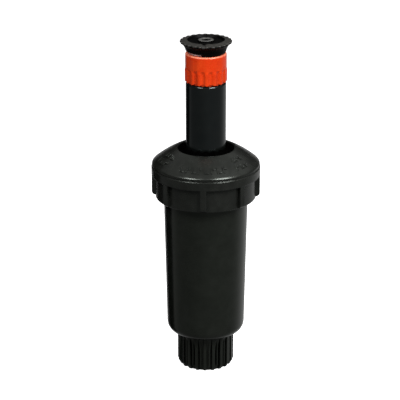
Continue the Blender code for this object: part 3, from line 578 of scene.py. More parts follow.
@dataclass(frozen=True)
class Rubber:
    """Soft moulded rubber: matt, with a fine tooth and a greyish bloom."""

    name: str
    deep: str
    bloom: str

    def make(self) -> bpy.types.Material:
        """Build the material."""
        shader = Shader(self.name)
        tooth = shader.noise(0.2, 3.0)
        cloud = shader.noise(3.0, 3.0)
        shader.set(Base_Color=shader.blend(cloud, 0.35, 0.7, self.deep, self.bloom))
        shader.set(Roughness=shader.out("MapRange", tooth, 0.3, 0.7, 0.55, 0.75), Specular_IOR_Level=0.0)
        shader.relief([(tooth, 0.01)])
        return shader.material


@dataclass(frozen=True)
class TurnedSteel:
    """Stainless steel, drawn or turned: bright, with fine lines round the axis."""

    name: str
    tone: str
    stain: str
    gloss: float

    def make(self) -> bpy.types.Material:
        """Build the material."""
        shader = Shader(self.name)
        lines = shader.noise(0.12, 2.0, (0.05, 0.05, 1.0))
        cloud = shader.noise(2.5, 3.0)
        shader.set(Base_Color=shader.blend(cloud, 0.4, 0.75, self.tone, self.stain))
        gloss = shader.out("MapRange", lines, 0.3, 0.7, self.gloss, self.gloss + 0.12)
        shader.set(Roughness=gloss, Metallic=1.0)
        shader.relief([(lines, 0.002)])
        return shader.material


class Finish(Enum):
    """The finishes of the head, by the piece that wears each."""

    # Glossy ABS from a polished mould: long soft reflections, a green cast in the light.
    CASE = MouldedPlastic(
        "abs_polished_black", "#10120f", "#171916", 0.16, 0.22, 0.35, 0.0015, sheen="#f3fff0"
    )
    # ABS from a spark-eroded mould: the same black with a fine tooth that spreads the light.
    CAP = MouldedPlastic(
        "abs_grained_black", "#0f100e", "#181917", 0.22, 0.3, 0.7, 0.0012, sheen="#f6fff6"
    )
    # Acetal from a mirror-finished mould: the darkest and smoothest piece, with a blue cast in the light.
    RISER = MouldedPlastic(
        "acetal_mirror_black", "#070909", "#0c0e0d", 0.13, 0.18, 0.3, 0.001, sheen="#f0fdff"
    )
    # Satin acetal: nearly black with nearly no reflection, which paints the shade inside the dished recess;
    # the rim is painted a warm grey, partly wear and partly painted light where it catches the light.
    NOZZLE = MouldedPlastic(
        "acetal_black_painted_shade_and_light", "#020202", "#050505", 0.38, 0.5, 0.4, 0.003, specular=0.05,
        wear_and_painted_light=WearAndPaintedLightZone("#2b2a27", 8.85, "deflector", drop=1.1, fade=0.3, shine=0.45),
    )
    # The same acetal painted a dull grey on the boss's rounded top: a painted highlight.
    BOSS = MouldedPlastic("acetal_grey_painted_highlight", "#3a3a39", "#565653", 0.45, 0.55, 0.3, 0.003, specular=0.2)
    # Pigmented polypropylene: a strong flat orange, lit a little from within, with a pale pink band painted
    # on its top edge as a painted highlight.
    COLLAR = MouldedPlastic(
        "polypropylene_orange_painted_highlight", "#be2d05", "#c83a0b", 0.24, 0.34, 0.5, 0.002, 0.04, 0.35,
        wear_and_painted_light=WearAndPaintedLightZone("#e08a6c", 8.6, "arc_collar", drop=0.45, fade=0.7, shine=0.35),
    )
    # Natural acetal: milky white, with a pink cast painted in for the light that the orange collar reflects
    # onto it.
    HUB = MouldedPlastic("acetal_natural_white", "#e6d3d5", "#f6e9e9", 0.35, 0.45, 0.3, 0.003, 0.05)
    # Grey acetal of the hidden rings: matt and even.
    ACETAL = MouldedPlastic("acetal_moulded_grey", "#8d9094", "#a0a3a6", 0.38, 0.5, 0.35, 0.004)
    # Woven nylon thread: pale, dull and slightly yellow.
    WEAVE = MouldedPlastic("nylon_woven_grey", "#a5a59c", "#b9b9af", 0.4, 0.55, 0.2, 0.002)
    # Moulded polyurethane rubber, painted all but pure black with no reflection: black rubber, and painted
    # shade for the deep shadow in the cap's opening.
    SEAL = Rubber("polyurethane_black_painted_shade", "#010101", "#030303")
    # Drawn stainless wire: bright, with lines along its turns.
    SPRING = TurnedSteel("stainless_drawn", "#c9cacb", "#a7a8a9", 0.2)
    # Turned stainless bar: duller, with tool lines round the head.
    SCREW = TurnedSteel("stainless_turned", "#8f9092", "#6d6e70", 0.28)


class Wardrobe:
    """The materials, each made once."""

    def __init__(self) -> None:
        """Start with none made."""
        self.made: dict[Finish, bpy.types.Material] = {}

    def take(self, finish: Finish) -> bpy.types.Material:
        """Give the material of a finish, and make it the first time."""
        if finish not in self.made:
            self.made[finish] = finish.value.make()
        return self.made[finish]


@dataclass
class Workshop:
    """What every sub-assembly shares: the finishes, the node trees and the neck's thread."""

    wardrobe: Wardrobe = field(default_factory=Wardrobe)
    flutes: Tree = field(default_factory=flute_recipe)
    rounds: Tree = field(default_factory=round_recipe)
    coils: Tree = field(default_factory=coil_recipe)
    weaves: Tree = field(default_factory=weave_recipe)
    thread_pitch: float = 3.2
    thread_turns: float = 2.0
    thread_ridge: float = 1.15
    thread_start: float = 92.0

    def dress(self, obj: Piece, finish: Finish) -> Piece:
        """Give a piece one material over all of it."""
        obj.data.materials.clear()
        obj.data.materials.append(self.wardrobe.take(finish))
        return obj

    def cut(
        self, obj: Piece, finish: Finish, count: int, root: float, low: float, high: float,
        land: float = 0.5, flank: float = 0.1, phase: float = 0.0, fade: float = 0.05, least: float = 0.0,
    ) -> Piece:
        """Cut flutes round a turned piece.

        Args:
            obj: the turned piece.
            finish: its finish.
            count: how many flutes go round.
            root: radius at the bottom of a flute, in millimetres.
            low: where the flutes start, in millimetres.
            high: where they end, in millimetres.
            land: share of the pitch left standing.
            flank: half the share that each flank takes.
            phase: turn of a land from the front, in degrees.
            fade: how far the flutes run out, in millimetres.
            least: surfaces inside this radius are left alone, in millimetres.

        Returns:
            The same object.
        """
        sizes = {
            "Count": float(count), "Root": root * MM, "Land": land, "Flank": flank,
            "Phase": math.radians(phase), "Low": low * MM, "High": high * MM, "Fade": fade * MM,
            "Least Radius": least * MM,
            "Finish": self.wardrobe.take(finish),
        }
        return grow(obj, self.flutes, sizes)

    def repeat(self, obj: Piece, finish: Finish, count: int, phase: float = 0.0) -> Piece:
        """Repeat a piece round the axis, the first copy turned by phase degrees."""
        sizes = {"Count": count, "Phase": math.radians(phase), "Finish": self.wardrobe.take(finish)}
        return grow(obj, self.rounds, sizes)

    def wind(
        self, name: str, finish: Finish, radius: float, low: float, high: float, turns: float, wire: float,
        closed: float = 0.0, closed_rise: float = 0.0, flat: float = 1.0, start: float = 0.0, sides: int = 12,
        steps_per_turn: int = 48,
    ) -> Piece:
        """Wind a coil or a thread ridge.

        Args:
            name: the piece's name.
            finish: its finish.
            radius: of the coil's centre line, in millimetres.
            low: height of its first point, in millimetres.
            high: height of its last point, in millimetres.
            turns: how many turns it makes.
            wire: radius of the wire, in millimetres.
            closed: turns at each end that are closed up.
            closed_rise: rise of a closed turn, in millimetres.
            flat: share by which the section is squeezed across.
            start: turn of its first point, in degrees.
            sides: corners of the section.
            steps_per_turn: points along each turn.

        Returns:
            The new object.
        """
        sizes = {
            "Radius": radius * MM, "Low": low * MM, "High": high * MM, "Turns": turns, "Closed Turns": closed,
            "Closed Rise": closed_rise * MM, "Wire Radius": wire * MM, "Flatness": flat,
            "Start": math.radians(start), "Sides": sides, "Steps": round(turns * steps_per_turn) + 1,
            "Finish": self.wardrobe.take(finish),
        }
        return grow(empty_piece(name), self.coils, sizes)

    def thread(self, name: str, finish: Finish, radius: float, low: float) -> Piece:
        """Wind the ridge that neck and cap share, at a radius and from a height in millimetres."""
        high = low + self.thread_turns * self.thread_pitch
        ridge = self.wind(
            name, finish, radius, low, high, self.thread_turns, self.thread_ridge,
            start=self.thread_start, sides=6, flat=0.62,
        )
        return smooth(ridge, 50.0)


def place(obj: Piece, body: str, slot: str, *nodes: str) -> Piece:
    """Put a finished piece on its body, in the stead of frame pieces.

    Args:
        obj: the finished piece.
        body: the body that it moves with.
        slot: the record's material slot that it wears; not used.
        nodes: the frame pieces that it stands for.

    Returns:
        The same object.
    """
    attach(obj, body)
    if nodes:
        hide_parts(*nodes)
    log.info("%s: %d faces on %s", obj.name, len(obj.data.polygons), body)
    return obj


# ------------------------------------------------------------------------------------------ sub-assemblies
THREAD_ROOT = 0.15  # how far a thread ridge's centre is sunk into its wall, in millimetres


@dataclass
class Case:
    """The case: fluted inlet boss, tapered barrel with a rounded foot, threaded neck and guide ribs."""

    shop: Workshop
    inlet_radius: float = 13.7
    inlet_height: float = 17.6
    inlet_bore: float = 9.7
    inlet_foot: float = 12.5
    inlet_chamfer: float = 2.1
    flutes: int = 20
    flute_root: float = 11.7
    flute_turn: float = -1.5
    fin_radius: float = 13.2
    fin_width: float = 0.68
    fin_foot: float = 2.4
    top_radius: float = 20.15
    draft: float = 1.45
    wall: float = 2.4
    foot_round: float = 4.8
    neck_step: float = 0.25
    floor: float = 2.4
    ribs: int = 6
    rib_radius: float = 15.3
    rib_width: float = 1.6
    rib_turn: float = -3.0
    rib_end: float = 4.5
    thread_lift: float = 1.3
    segments: int = 480

    def build(self) -> None:
        """Make the case and its thread, and put them on the case body."""
        rim = span("case_body")[1]
        skirt = span("cap_shell")[0]
        low_radius = self.top_radius - self.draft
        inner_low, inner_top = low_radius - self.wall, self.top_radius - self.wall
        neck = self.top_radius + self.neck_step
        floor = self.inlet_height + self.floor
        corners = [
            Corner(self.inlet_bore + 0.6, 0.02, 0.0),
            Corner(self.inlet_foot, 0.02, 0.15),
            Corner(self.inlet_radius, self.inlet_chamfer, 0.3),
            Corner(self.inlet_radius, self.inlet_height, 0.0),
            Corner(low_radius, self.inlet_height, self.foot_round),
            Corner(self.top_radius, skirt - 0.5, 0.0),
            Corner(neck, skirt + 0.6, 0.3),
            Corner(neck, rim, 0.5),
            Corner(inner_top, rim, 0.4),
            Corner(inner_low, floor + 3.0, 0.0),
            Corner(inner_low, floor, 2.2),
            Corner(self.inlet_bore, floor, 0.3),
            Corner(self.inlet_bore, 0.6, 0.0),
        ]
        profile = self.subdivide(rounded(corners))
        shell = revolve("case_shell", profile, self.segments)
        self.shop.cut(
            shell, Finish.CASE, self.flutes, self.flute_root, 0.0, self.inlet_height - 0.1,
            land=0.4, flank=0.07, phase=self.flute_turn, fade=0.05, least=11.0,
        )
        smooth(shell, 32.0)
        place(shell, "case", "case_black", "case_body")
        self.add_fins()
        self.add_ribs(floor + 3.2, rim - self.rib_end, inner_top)
        low = skirt + self.thread_lift
        thread = self.shop.thread("case_neck_thread", Finish.CASE, neck - THREAD_ROOT, low)
        place(thread, "case", "case_black")

    def subdivide(self, profile: list[Point]) -> list[Point]:
        """Add points up the long sides, so that the flutes' ends and the taper stay even."""
        points: list[Point] = []
        for (r0, z0), (r1, z1) in zip(profile, profile[1:] + profile[:1]):
            steps = max(1, math.ceil(abs(z1 - z0) / 8.0))
            points += [(r0 + (r1 - r0) * s / steps, z0 + (z1 - z0) * s / steps) for s in range(steps)]
        return points

    def add_fins(self) -> None:
        """Stand a thin fin in the middle of every flute of the inlet boss."""
        bm = bmesh.new()
        half = self.fin_width / 2
        root = self.flute_root - 0.4
        outline = [(root, -half), (root, half), (self.fin_radius, half), (self.fin_radius, -half)]
        points = [Vector((side * MM, -radius * MM, self.fin_foot * MM)) for radius, side in outline]
        prism(bm, points, lambda p: p + Vector((0.0, 0.0, (self.inlet_height - self.fin_foot - 0.1) * MM)))
        fins = mesh_object("inlet_fins", bm, 0.12)
        self.shop.repeat(fins, Finish.CASE, self.flutes, self.flute_turn + 180.0 / self.flutes)
        place(smooth(fins, 50.0), "case", "case_black")

    def add_ribs(self, low: float, high: float, wall: float) -> None:
        """Make the guide ribs that key the ratchet ring, thinner towards their tops, inside the barrel."""
        bm = bmesh.new()
        half, root = self.rib_width / 2, wall - 0.8
        outline = [(self.rib_radius, -half), (self.rib_radius, half), (root, half), (root, -half)]
        points = [Vector((side * MM, -radius * MM, low * MM)) for radius, side in outline]
        taper, rise = -0.9 * MM, (high - low) * MM
        prism(bm, points, lambda p: p + Vector((0.0, taper if p.y < -16 * MM else 0.0, rise)))
        ribs = mesh_object("case_guide_ribs", bm, 0.2)
        self.shop.repeat(ribs, Finish.CASE, self.ribs, self.rib_turn)
        place(smooth(ribs, 50.0), "case", "case_black")


@dataclass
class Cap:
    """The screw-on cap: lugged skirt, ring band, groove, crowned dome, rounded opening and raised marks."""

    shop: Workshop
    bore: float = 22.3
    skirt_radius: float = 24.05
    ring_radius: float = 26.0
    ring_height: float = 4.3
    edge_height: float = 1.5
    ring_drop: float = 1.9
    opening: float = 13.3
    lugs: int = 8
    lug_turn: float = -3.0
    lug_width: float = 2.9
    lug_round: float = 1.9
    crown: float = 0.45
    seal_room: float = 5.6
    seal_flange: float = 2.3
    mark_height: float = 0.6
    mark_root: float = 0.15
    front_marks: int = 8
    front_pitch: float = 7.6
    side_pitch: float = 8.0
    thread_lift: float = 1.3
    slope_start: Point = field(init=False)
    slope_end: Point = field(init=False)

    def build(self) -> None:
        """Make the cap with its lugs, marks and thread, and put them on the cap body."""
        foot, top = span("cap_shell")
        ceiling = span("wiper_seal")[0] + self.seal_flange
        ring = ceiling - self.ring_drop
        edge = ring + self.ring_height
        dome = edge + self.edge_height
        self.slope_start = (self.ring_radius - 0.9, dome + 0.7)
        self.slope_end = (self.opening + 1.2, top - 0.05)
        corners = [
            Corner(self.bore + 0.4, foot, 0.0),
            Corner(self.skirt_radius, foot, 0.45),
            Corner(self.skirt_radius, ring, 0.25),
            Corner(self.ring_radius, ring, 0.55),
            Corner(self.ring_radius, edge - 0.1, 0.3),
            Corner(self.ring_radius - 0.5, edge + 0.15, 0.12),
            Corner(self.ring_radius - 0.2, edge + 0.7, 0.2),
            Corner(self.ring_radius - 0.25, dome - 0.05, 0.9),
        ]
        for step in range(7):
            corners.append(Corner(*self.on_slope(step / 6), 0.0))
        corners += [
            Corner(self.opening + 0.15, top - 0.02, 0.75),
            Corner(self.opening, top - 3.0, 0.0),
            Corner(self.opening, ceiling + self.seal_room, 0.0),
            Corner(self.bore - 1.8, ceiling, 0.0),
            Corner(self.bore, ceiling, 0.3),
            Corner(self.bore, foot + 0.4, 0.0),
        ]
        shell = revolve("cap_dome", rounded(corners), 288)
        self.shop.dress(shell, Finish.CAP)
        place(smooth(shell, 38.0), "cap", "cap_black", "cap_shell")
        self.add_lugs(foot, ring)
        self.add_marks()
        low = foot + self.thread_lift + self.shop.thread_pitch / 2
        thread = self.shop.thread("cap_inner_thread", Finish.CAP, self.bore + THREAD_ROOT, low)
        place(thread, "cap", "cap_black")

    def on_slope(self, share: float) -> Point:
        """Give the point of the dome's crowned slope at a share of the way up."""
        (r0, z0), (r1, z1) = self.slope_start, self.slope_end
        rise = self.crown * 4 * share * (1 - share)
        return r0 + (r1 - r0) * share, z0 + (z1 - z0) * share + rise

    def add_lugs(self, foot: float, ring: float) -> None:
        """Make one grip lug with a rounded lower end and repeat it round the skirt."""
        outer = self.ring_radius - 0.08
        low, inner = foot + 0.35, self.skirt_radius - 0.5
        top, side = ring + 0.4, -self.lug_width / 2
        outline = [Corner(inner, top), Corner(inner, low), Corner(outer, low, self.lug_round)]
        outline.append(Corner(outer, top))
        points = [Vector((side * MM, -r * MM, z * MM)) for r, z in rounded(outline, step_deg=12.0)]
        bm = bmesh.new()
        prism(bm, points, lambda p: p + Vector((self.lug_width * MM, 0.0, 0.0)))
        lugs = mesh_object("cap_grip_lugs", bm, 0.28, 3)
        self.shop.repeat(lugs, Finish.CAP, self.lugs, self.lug_turn)
        place(smooth(lugs, 50.0), "cap", "cap_black")

    def add_marks(self) -> None:
        """Raise plain strokes on the dome: a row at the front and two short rows at each side."""
        bm = bmesh.new()
        for index in range(self.front_marks):
            self.add_strokes(bm, -29.5 + index * self.front_pitch, 0.27, 0.13, index)
        for middle in (-66.0, 50.0, 160.0):
            for row, share in enumerate((0.25, 0.6)):
                for step in (-1, 0, 1):
                    self.add_strokes(bm, middle + step * self.side_pitch + row * 2.0, share, 0.1, row + step)
        marks = mesh_object("cap_raised_marks", bm, 0.08, 2)
        self.shop.dress(marks, Finish.CAP)
        place(smooth(marks, 50.0), "cap", "cap_black")

    def add_strokes(self, bm: BMesh, turn: float, share: float, tall: float, variant: int) -> None:
        """Add a pair of upright strokes, one of them short.

        Args:
            bm: the bmesh to add them to.
            turn: where they are, in degrees from the front.
            share: how far up the slope their middle is.
            tall: half their height, as a share of the slope.
            variant: an odd one has its short stroke high, an even one low.
        """
        low, high = (0.1 * tall, tall) if variant % 2 else (-tall, -0.1 * tall)
        self.add_mark(bm, turn, share, [(-1.15, -tall), (-0.55, -tall), (-0.55, tall), (-1.15, tall)])
        self.add_mark(bm, turn, share, [(-0.2, low), (0.95, low), (0.95, high), (-0.2, high)])

    def add_mark(self, bm: BMesh, turn: float, share: float, outline: Sequence[Point]) -> None:
        """Add one raised mark.

        Args:
            bm: the bmesh to add it to.
            turn: where it is, in degrees from the front.
            share: how far up the slope it is.
            outline: corners as millimetres along the slope's ring and share of the slope.
        """
        base: list[Vector] = []
        for along, up in outline:
            radius, height = self.on_slope(share + up)
            spot = facing(turn + math.degrees(along / radius)) * (radius * MM)
            base.append(spot + Vector((0.0, 0.0, (height - self.mark_root) * MM)))
        rise = Vector((0.0, 0.0, (self.mark_root + self.mark_height) * MM))
        prism(bm, base, lambda p: p + rise)


@dataclass
class SealSeat:
    """The wiper seal, whose scalloped lip shows in the cap's opening, and the ring under it."""

    shop: Workshop
    flange: float = 20.2
    lip: float = 10.25
    relief: float = 0.5
    thickness: float = 1.1
    flange_height: float = 2.0
    scallops: int = 18
    scallop_depth: float = 0.55

    def build(self) -> None:
        """Make the seal and finish the support ring."""
        low, high = span("wiper_seal")
        sleeve = self.lip + self.relief + self.thickness
        corners = [
            Corner(self.lip + self.relief, low, 0.2),
            Corner(self.flange, low, 0.3),
            Corner(self.flange, low + self.flange_height, 0.3),
            Corner(sleeve + 1.2, low + self.flange_height, 0.8),
            Corner(sleeve, high - 4.4, 1.5),
            Corner(self.lip + 0.65, high - 0.9, 1.0),
            Corner(self.lip + 0.45, high, 0.2),
            Corner(self.lip, high, 0.2),
            Corner(self.lip, high - 1.6, 0.2),
            Corner(self.lip + self.relief, high - 2.3, 0.2),
        ]

        def wave(radius: float, height: float, turn: float) -> Point:
            """Dip the lip's top in scallops."""
            if height > high - 1.3:
                dip = 0.5 - 0.5 * math.cos(math.radians(turn * self.scallops))
                return radius, height - self.scallop_depth * dip * min(1.0, (height - high + 1.3) / 1.2)
            return radius, height

        seal = revolve("wiper_lip_seal", rounded(corners), 224, warp=wave)
        self.shop.dress(seal, Finish.SEAL)
        place(smooth(seal, 40.0), "seal_seat", "seal_rubber", "wiper_seal")
        self.shop.dress(frame["nodes"]["seal_support_ring"], Finish.ACETAL)


@dataclass
class Riser:
    """The riser tube with its foot, the notched ratchet ring and the retraction spring."""

    shop: Workshop
    radius: float = 9.55
    bore: float = 7.9
    top_round: float = 1.5
    hub: float = 10.2
    stop: float = 11.0
    flange: float = 14.8
    flange_height: float = 2.0
    wire: float = 0.6
    coils: float = 8.0

    def build(self) -> None:
        """Make the riser and its spring, and finish the small pieces at its foot."""
        foot, top = span("riser_stem")
        ratchet_low, ratchet_top = span("ratchet_ring")
        flange = ratchet_top + 0.5
        stop_top = span("seal_support_ring")[0] - 0.3
        corners = [
            Corner(self.bore, foot, 0.3),
            Corner(self.hub, foot, 0.3),
            Corner(self.hub, flange, 0.1),
            Corner(self.flange, flange, 0.3),
            Corner(self.flange, flange + self.flange_height, 0.3),
            Corner(self.stop, flange + self.flange_height, 0.3),
            Corner(self.stop, stop_top, 0.3),
            Corner(self.radius - 0.01, stop_top, 0.2),
            Corner(self.radius, top, self.top_round),
            Corner(self.bore, top, 0.2),
        ]
        tube = revolve("riser_tube", rounded(corners, step_deg=10.0), 192)
        self.shop.dress(tube, Finish.RISER)
        place(smooth(tube, 38.0), "riser", "riser_black", "riser_stem")
        self.add_spring()
        self.shop.dress(frame["nodes"]["ratchet_ring"], Finish.ACETAL)
        self.shop.dress(frame["nodes"]["stem_retainer"], Finish.RISER)

    def add_spring(self) -> None:
        """Wind the retraction spring, which stretches from the case's seat to the riser's foot."""
        low, high = span("retract_spring")
        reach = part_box("retract_spring")[1].x / MM - self.wire
        spring = self.shop.wind(
            "retraction_spring", Finish.SPRING, reach, low + self.wire, high - self.wire, self.coils,
            self.wire, closed=0.9, closed_rise=2 * self.wire + 0.25, start=90.0, sides=10, steps_per_turn=36,
        )
        smooth(spring, 60.0)
        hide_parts("retract_spring")
        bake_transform(spring)
        log.info("%s: %d faces between case and ratchet", spring.name, len(spring.data.polygons))


@dataclass
class Nozzle:
    """The nozzle: ridged collar, light hub, scalloped deflector with its pointer, screw and filter."""

    shop: Workshop
    collar_radius: float = 9.75
    collar_wall: float = 0.85
    collar_top: float = 1.4
    ridges: int = 16
    ridge_height: float = 0.2
    ridge_share: float = 0.46
    ridge_turn: float = 2.0
    ridge_scallop: float = 0.75
    flange_radius: float = 12.4
    flange_edge: float = 0.85
    scallops: int = 24
    scallop_root: float = 11.3
    recess: float = 8.6
    recess_depth: float = 1.3
    boss: float = 3.7
    boss_hole: float = 2.3
    skirt_height: float = 4.8
    skirt_radius: float = 9.2
    skirt_wall: float = 0.6
    arc_step: float = 1.7
    arc_step_deg: float = -13.0
    arc_open_deg: float = 200.0
    pointer_deg: float = -6.0
    pointer_radius: float = 11.6
    notch_depth: float = 0.7
    notch_deg: float = 6.5
    screw_neck: float = 0.7
    screw_shank: float = 1.5
    screw_head: float = 2.0
    screw_slot: float = 0.5
    screw_turn: float = 35.0
    mesh_wires: int = 56
    mesh_rows: int = 50
    mesh_wire: float = 0.1

    def build(self) -> None:
        """Make every piece of the nozzle."""
        self.add_collar()
        self.add_hub()
        self.add_deflector()
        self.add_pointer()
        self.add_screw()
        self.add_filter()
        nodes = frame["nodes"]
        self.shop.dress(nodes["nozzle_base"], Finish.NOZZLE)
        self.shop.dress(nodes["collar_seal_ring"], Finish.SEAL)
        self.shop.dress(nodes["throttle_plug"], Finish.ACETAL)

    def add_collar(self) -> None:
        """Make the coloured collar and cut its grip ridges."""
        low, high = span("arc_collar")
        ridge_top = low + (high - low) * self.ridge_share
        crest = self.collar_radius + self.ridge_height
        bore = self.collar_radius - self.collar_wall
        corners = [
            Corner(bore, low, 0.15),
            Corner(crest - 0.05, low, 0.45),
            Corner(crest, ridge_top - 0.6, 0.5),
            Corner(self.collar_radius, ridge_top + 0.6, 0.5),
            Corner(self.collar_radius, high, 0.7),
            Corner(4.8, high, 0.1),
            Corner(4.8, high - self.collar_top, 0.1),
            Corner(bore, high - self.collar_top, 0.2),
        ]

        def scallop(radius: float, height: float, turn: float) -> Point:
            """Lift the lower edge between the ridges."""
            if height < low + 0.6 and radius > bore + 0.1:
                dip = 0.5 - 0.5 * math.cos(math.radians((turn - self.ridge_turn) * self.ridges))
                return radius, height + self.ridge_scallop * dip
            return radius, height

        collar = revolve("arc_setting_collar", rounded(corners, step_deg=12.0), 288, warp=scallop)
        self.shop.cut(
            collar, Finish.COLLAR, self.ridges, crest - 3.4 * self.ridge_height, low - 1.0, ridge_top,
            land=0.55, flank=0.34, phase=self.ridge_turn, fade=0.9, least=bore + 0.25,
        )
        place(smooth(collar, 42.0), "collar", "collar_orange", "arc_collar")

    def add_hub(self) -> None:
        """Make the light hub, whose disc shows in the arc slot."""
        low, high = span("nozzle_hub")
        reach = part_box("nozzle_hub")[1].x / MM
        skirt = high - 1.7
        reach = min(reach, self.skirt_radius - self.skirt_wall - 0.2)
        corners = [
            Corner(1.8, low, 0.1),
            Corner(3.4, low, 0.2),
            Corner(3.4, skirt, 0.3),
            Corner(reach, skirt, 0.12),
            Corner(reach, skirt + 0.55, 0.05),
            Corner(reach - 0.25, skirt + 0.7, 0.05),
            Corner(reach, skirt + 0.85, 0.05),
            Corner(reach, high, 0.12),
            Corner(1.8, high, 0.1),
        ]
        hub = revolve("flow_hub", rounded(corners), 160)
        self.shop.dress(hub, Finish.HUB)
        place(smooth(hub, 40.0), "riser", "hub_white", "nozzle_hub")

    def add_deflector(self) -> None:
        """Make the deflector: ramped skirt, flared neck, scalloped rim, dished recess and boss."""
        low, top = span("deflector")
        flange = low + self.skirt_height
        edge = flange + self.flange_edge
        inner = self.skirt_radius - self.skirt_wall
        room = low + 2.0
        seat = span("radius_screw")[1] - 2.3
        flare = self.flange_radius - self.skirt_radius
        corners = [Corner(inner, low, 0.08), Corner(self.skirt_radius, low, 0.12)]
        for share, drop in ((0.13, 3.6), (0.2, 2.8), (0.36, 1.7), (0.62, 0.6)):
            corners.append(Corner(self.skirt_radius + flare * share, flange - drop, 1.5))
        corners += [
            Corner(self.flange_radius - 0.25, flange, 0.25),
            Corner(self.flange_radius, edge - 0.15, 0.3),
            Corner(self.flange_radius - 1.5, edge + 0.05, 0.5),
            Corner(self.recess + 0.2, top, 0.25),
            Corner(self.recess - 0.25, top - self.recess_depth, 0.25),
            Corner(self.boss, top - self.recess_depth, 0.2),
            Corner(self.boss, top - 0.1, 0.35),
            Corner(self.boss_hole, top - 0.1, 0.35),
            Corner(self.boss_hole, seat, 0.1),
            Corner(1.8, seat, 0.1),
            Corner(1.8, room, 0.1),
            Corner(inner, room, 0.1),
        ]

        def ramp(r: float, z: float, turn: float) -> Point:
            """Cut the arc's helical step into the skirt's foot and a notch in the rim."""
            if z < low + 0.5:
                away = (self.arc_step_deg - turn) % 360.0
                return r, z + self.arc_step * max(0.0, 1.0 - away / self.arc_open_deg)
            if z > edge - 0.3 and r > self.recess - 0.1:
                off = abs((turn - self.pointer_deg + 180.0) % 360.0 - 180.0)
                return r, z - self.notch_depth * max(0.0, 1.0 - off / self.notch_deg)
            return r, z

        head = revolve("deflector_head", rounded(corners, step_deg=15.0), 360, warp=ramp)
        self.shop.cut(
            head, Finish.NOZZLE, self.scallops, self.scallop_root, flange - 0.3, top,
            land=0.55, flank=0.3, phase=1.5, fade=0.05, least=11.0,
        )
        place(smooth(head, 38.0), "riser", "nozzle_black", "deflector")
        # A thin grey ring on the boss's top, painted lighter as a painted highlight.
        lip = [
            Corner(self.boss_hole - 0.1, top - 0.5, 0.0),
            Corner(self.boss - 0.1, top - 0.5, 0.0),
            Corner(self.boss - 0.1, top - 0.01, 0.3),
            Corner(self.boss_hole - 0.1, top - 0.01, 0.3),
        ]
        rim = revolve("boss_rim_painted_highlight", rounded(lip), 96)
        self.shop.dress(rim, Finish.BOSS)
        place(smooth(rim, 50.0), "riser", "nozzle_black")

    def add_pointer(self) -> None:
        """Make the small triangular pointer on the rim's edge."""
        flange = span("deflector")[0] + self.skirt_height
        bm = bmesh.new()
        out = facing(self.pointer_deg)
        side = Vector((-out.y, out.x, 0.0))
        outline = [(-1.0, 0.75), (1.0, 0.75), (0.0, -0.75)]
        middle = out * (self.pointer_radius * MM) + Vector((0.0, 0.0, flange * MM))
        points = [middle + side * (s * MM) + Vector((0.0, 0.0, h * MM)) for s, h in outline]
        prism(bm, points, lambda p: p + out * ((0.55 if p.z > flange * MM else 1.0) * MM))
        pointer = mesh_object("arc_pointer", bm, 0.08, 2)
        self.shop.dress(pointer, Finish.NOZZLE)
        place(smooth(pointer, 50.0), "riser", "nozzle_black")

    def add_screw(self) -> None:
        """Make the slotted adjusting screw."""
        low, high = span("radius_screw")
        head_low = high - 1.0
        corners = [
            Corner(0.0, low),
            Corner(self.screw_neck, low, 0.1),
            Corner(self.screw_neck, low + 2.9, 0.1),
            Corner(self.screw_shank, low + 3.3, 0.1),
            Corner(self.screw_shank, head_low, 0.1),
            Corner(self.screw_head, head_low, 0.1),
            Corner(self.screw_head, high, 0.3),
            Corner(0.0, high),
        ]
        screw = revolve("adjusting_screw", rounded(corners, closed=False), 96, closed=False)
        slot = bmesh.new()
        turn = Matrix.Rotation(math.radians(self.screw_turn), 4, "Z")
        size = Matrix.Diagonal((3 * self.screw_head * MM, self.screw_slot * MM, 1.4 * MM, 1.0))
        bmesh.ops.create_cube(slot, size=1.0, matrix=Matrix.Translation((0, 0, high * MM)) @ turn @ size)
        cutter = mesh_object("slot_cutter", slot)
        cut = screw.modifiers.new("slot", "BOOLEAN")
        cut.operation = "DIFFERENCE"
        cut.object = cutter
        settle(screw)
        bpy.data.objects.remove(cutter)
        self.shop.dress(screw, Finish.SCREW)
        place(smooth(screw, 35.0), "screw", "screw_steel", "radius_screw")

    def add_filter(self) -> None:
        """Weave the filter's sleeve and finish its frame."""
        low, high = span("screen_mesh")
        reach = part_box("screen_mesh")[1].x / MM
        sizes = {
            "Radius": (reach - 0.12) * MM, "Low": (low + 0.1) * MM, "High": (high - 0.1) * MM,
            "Wires": self.mesh_wires, "Rows": self.mesh_rows, "Wire Radius": self.mesh_wire * MM,
            "Finish": self.shop.wardrobe.take(Finish.WEAVE),
        }
        weave = grow(empty_piece("filter_weave"), self.shop.weaves, sizes)
        place(weave, "riser", "mesh_grey", "screen_mesh")
        self.shop.dress(frame["nodes"]["screen_frame"], Finish.NOZZLE)


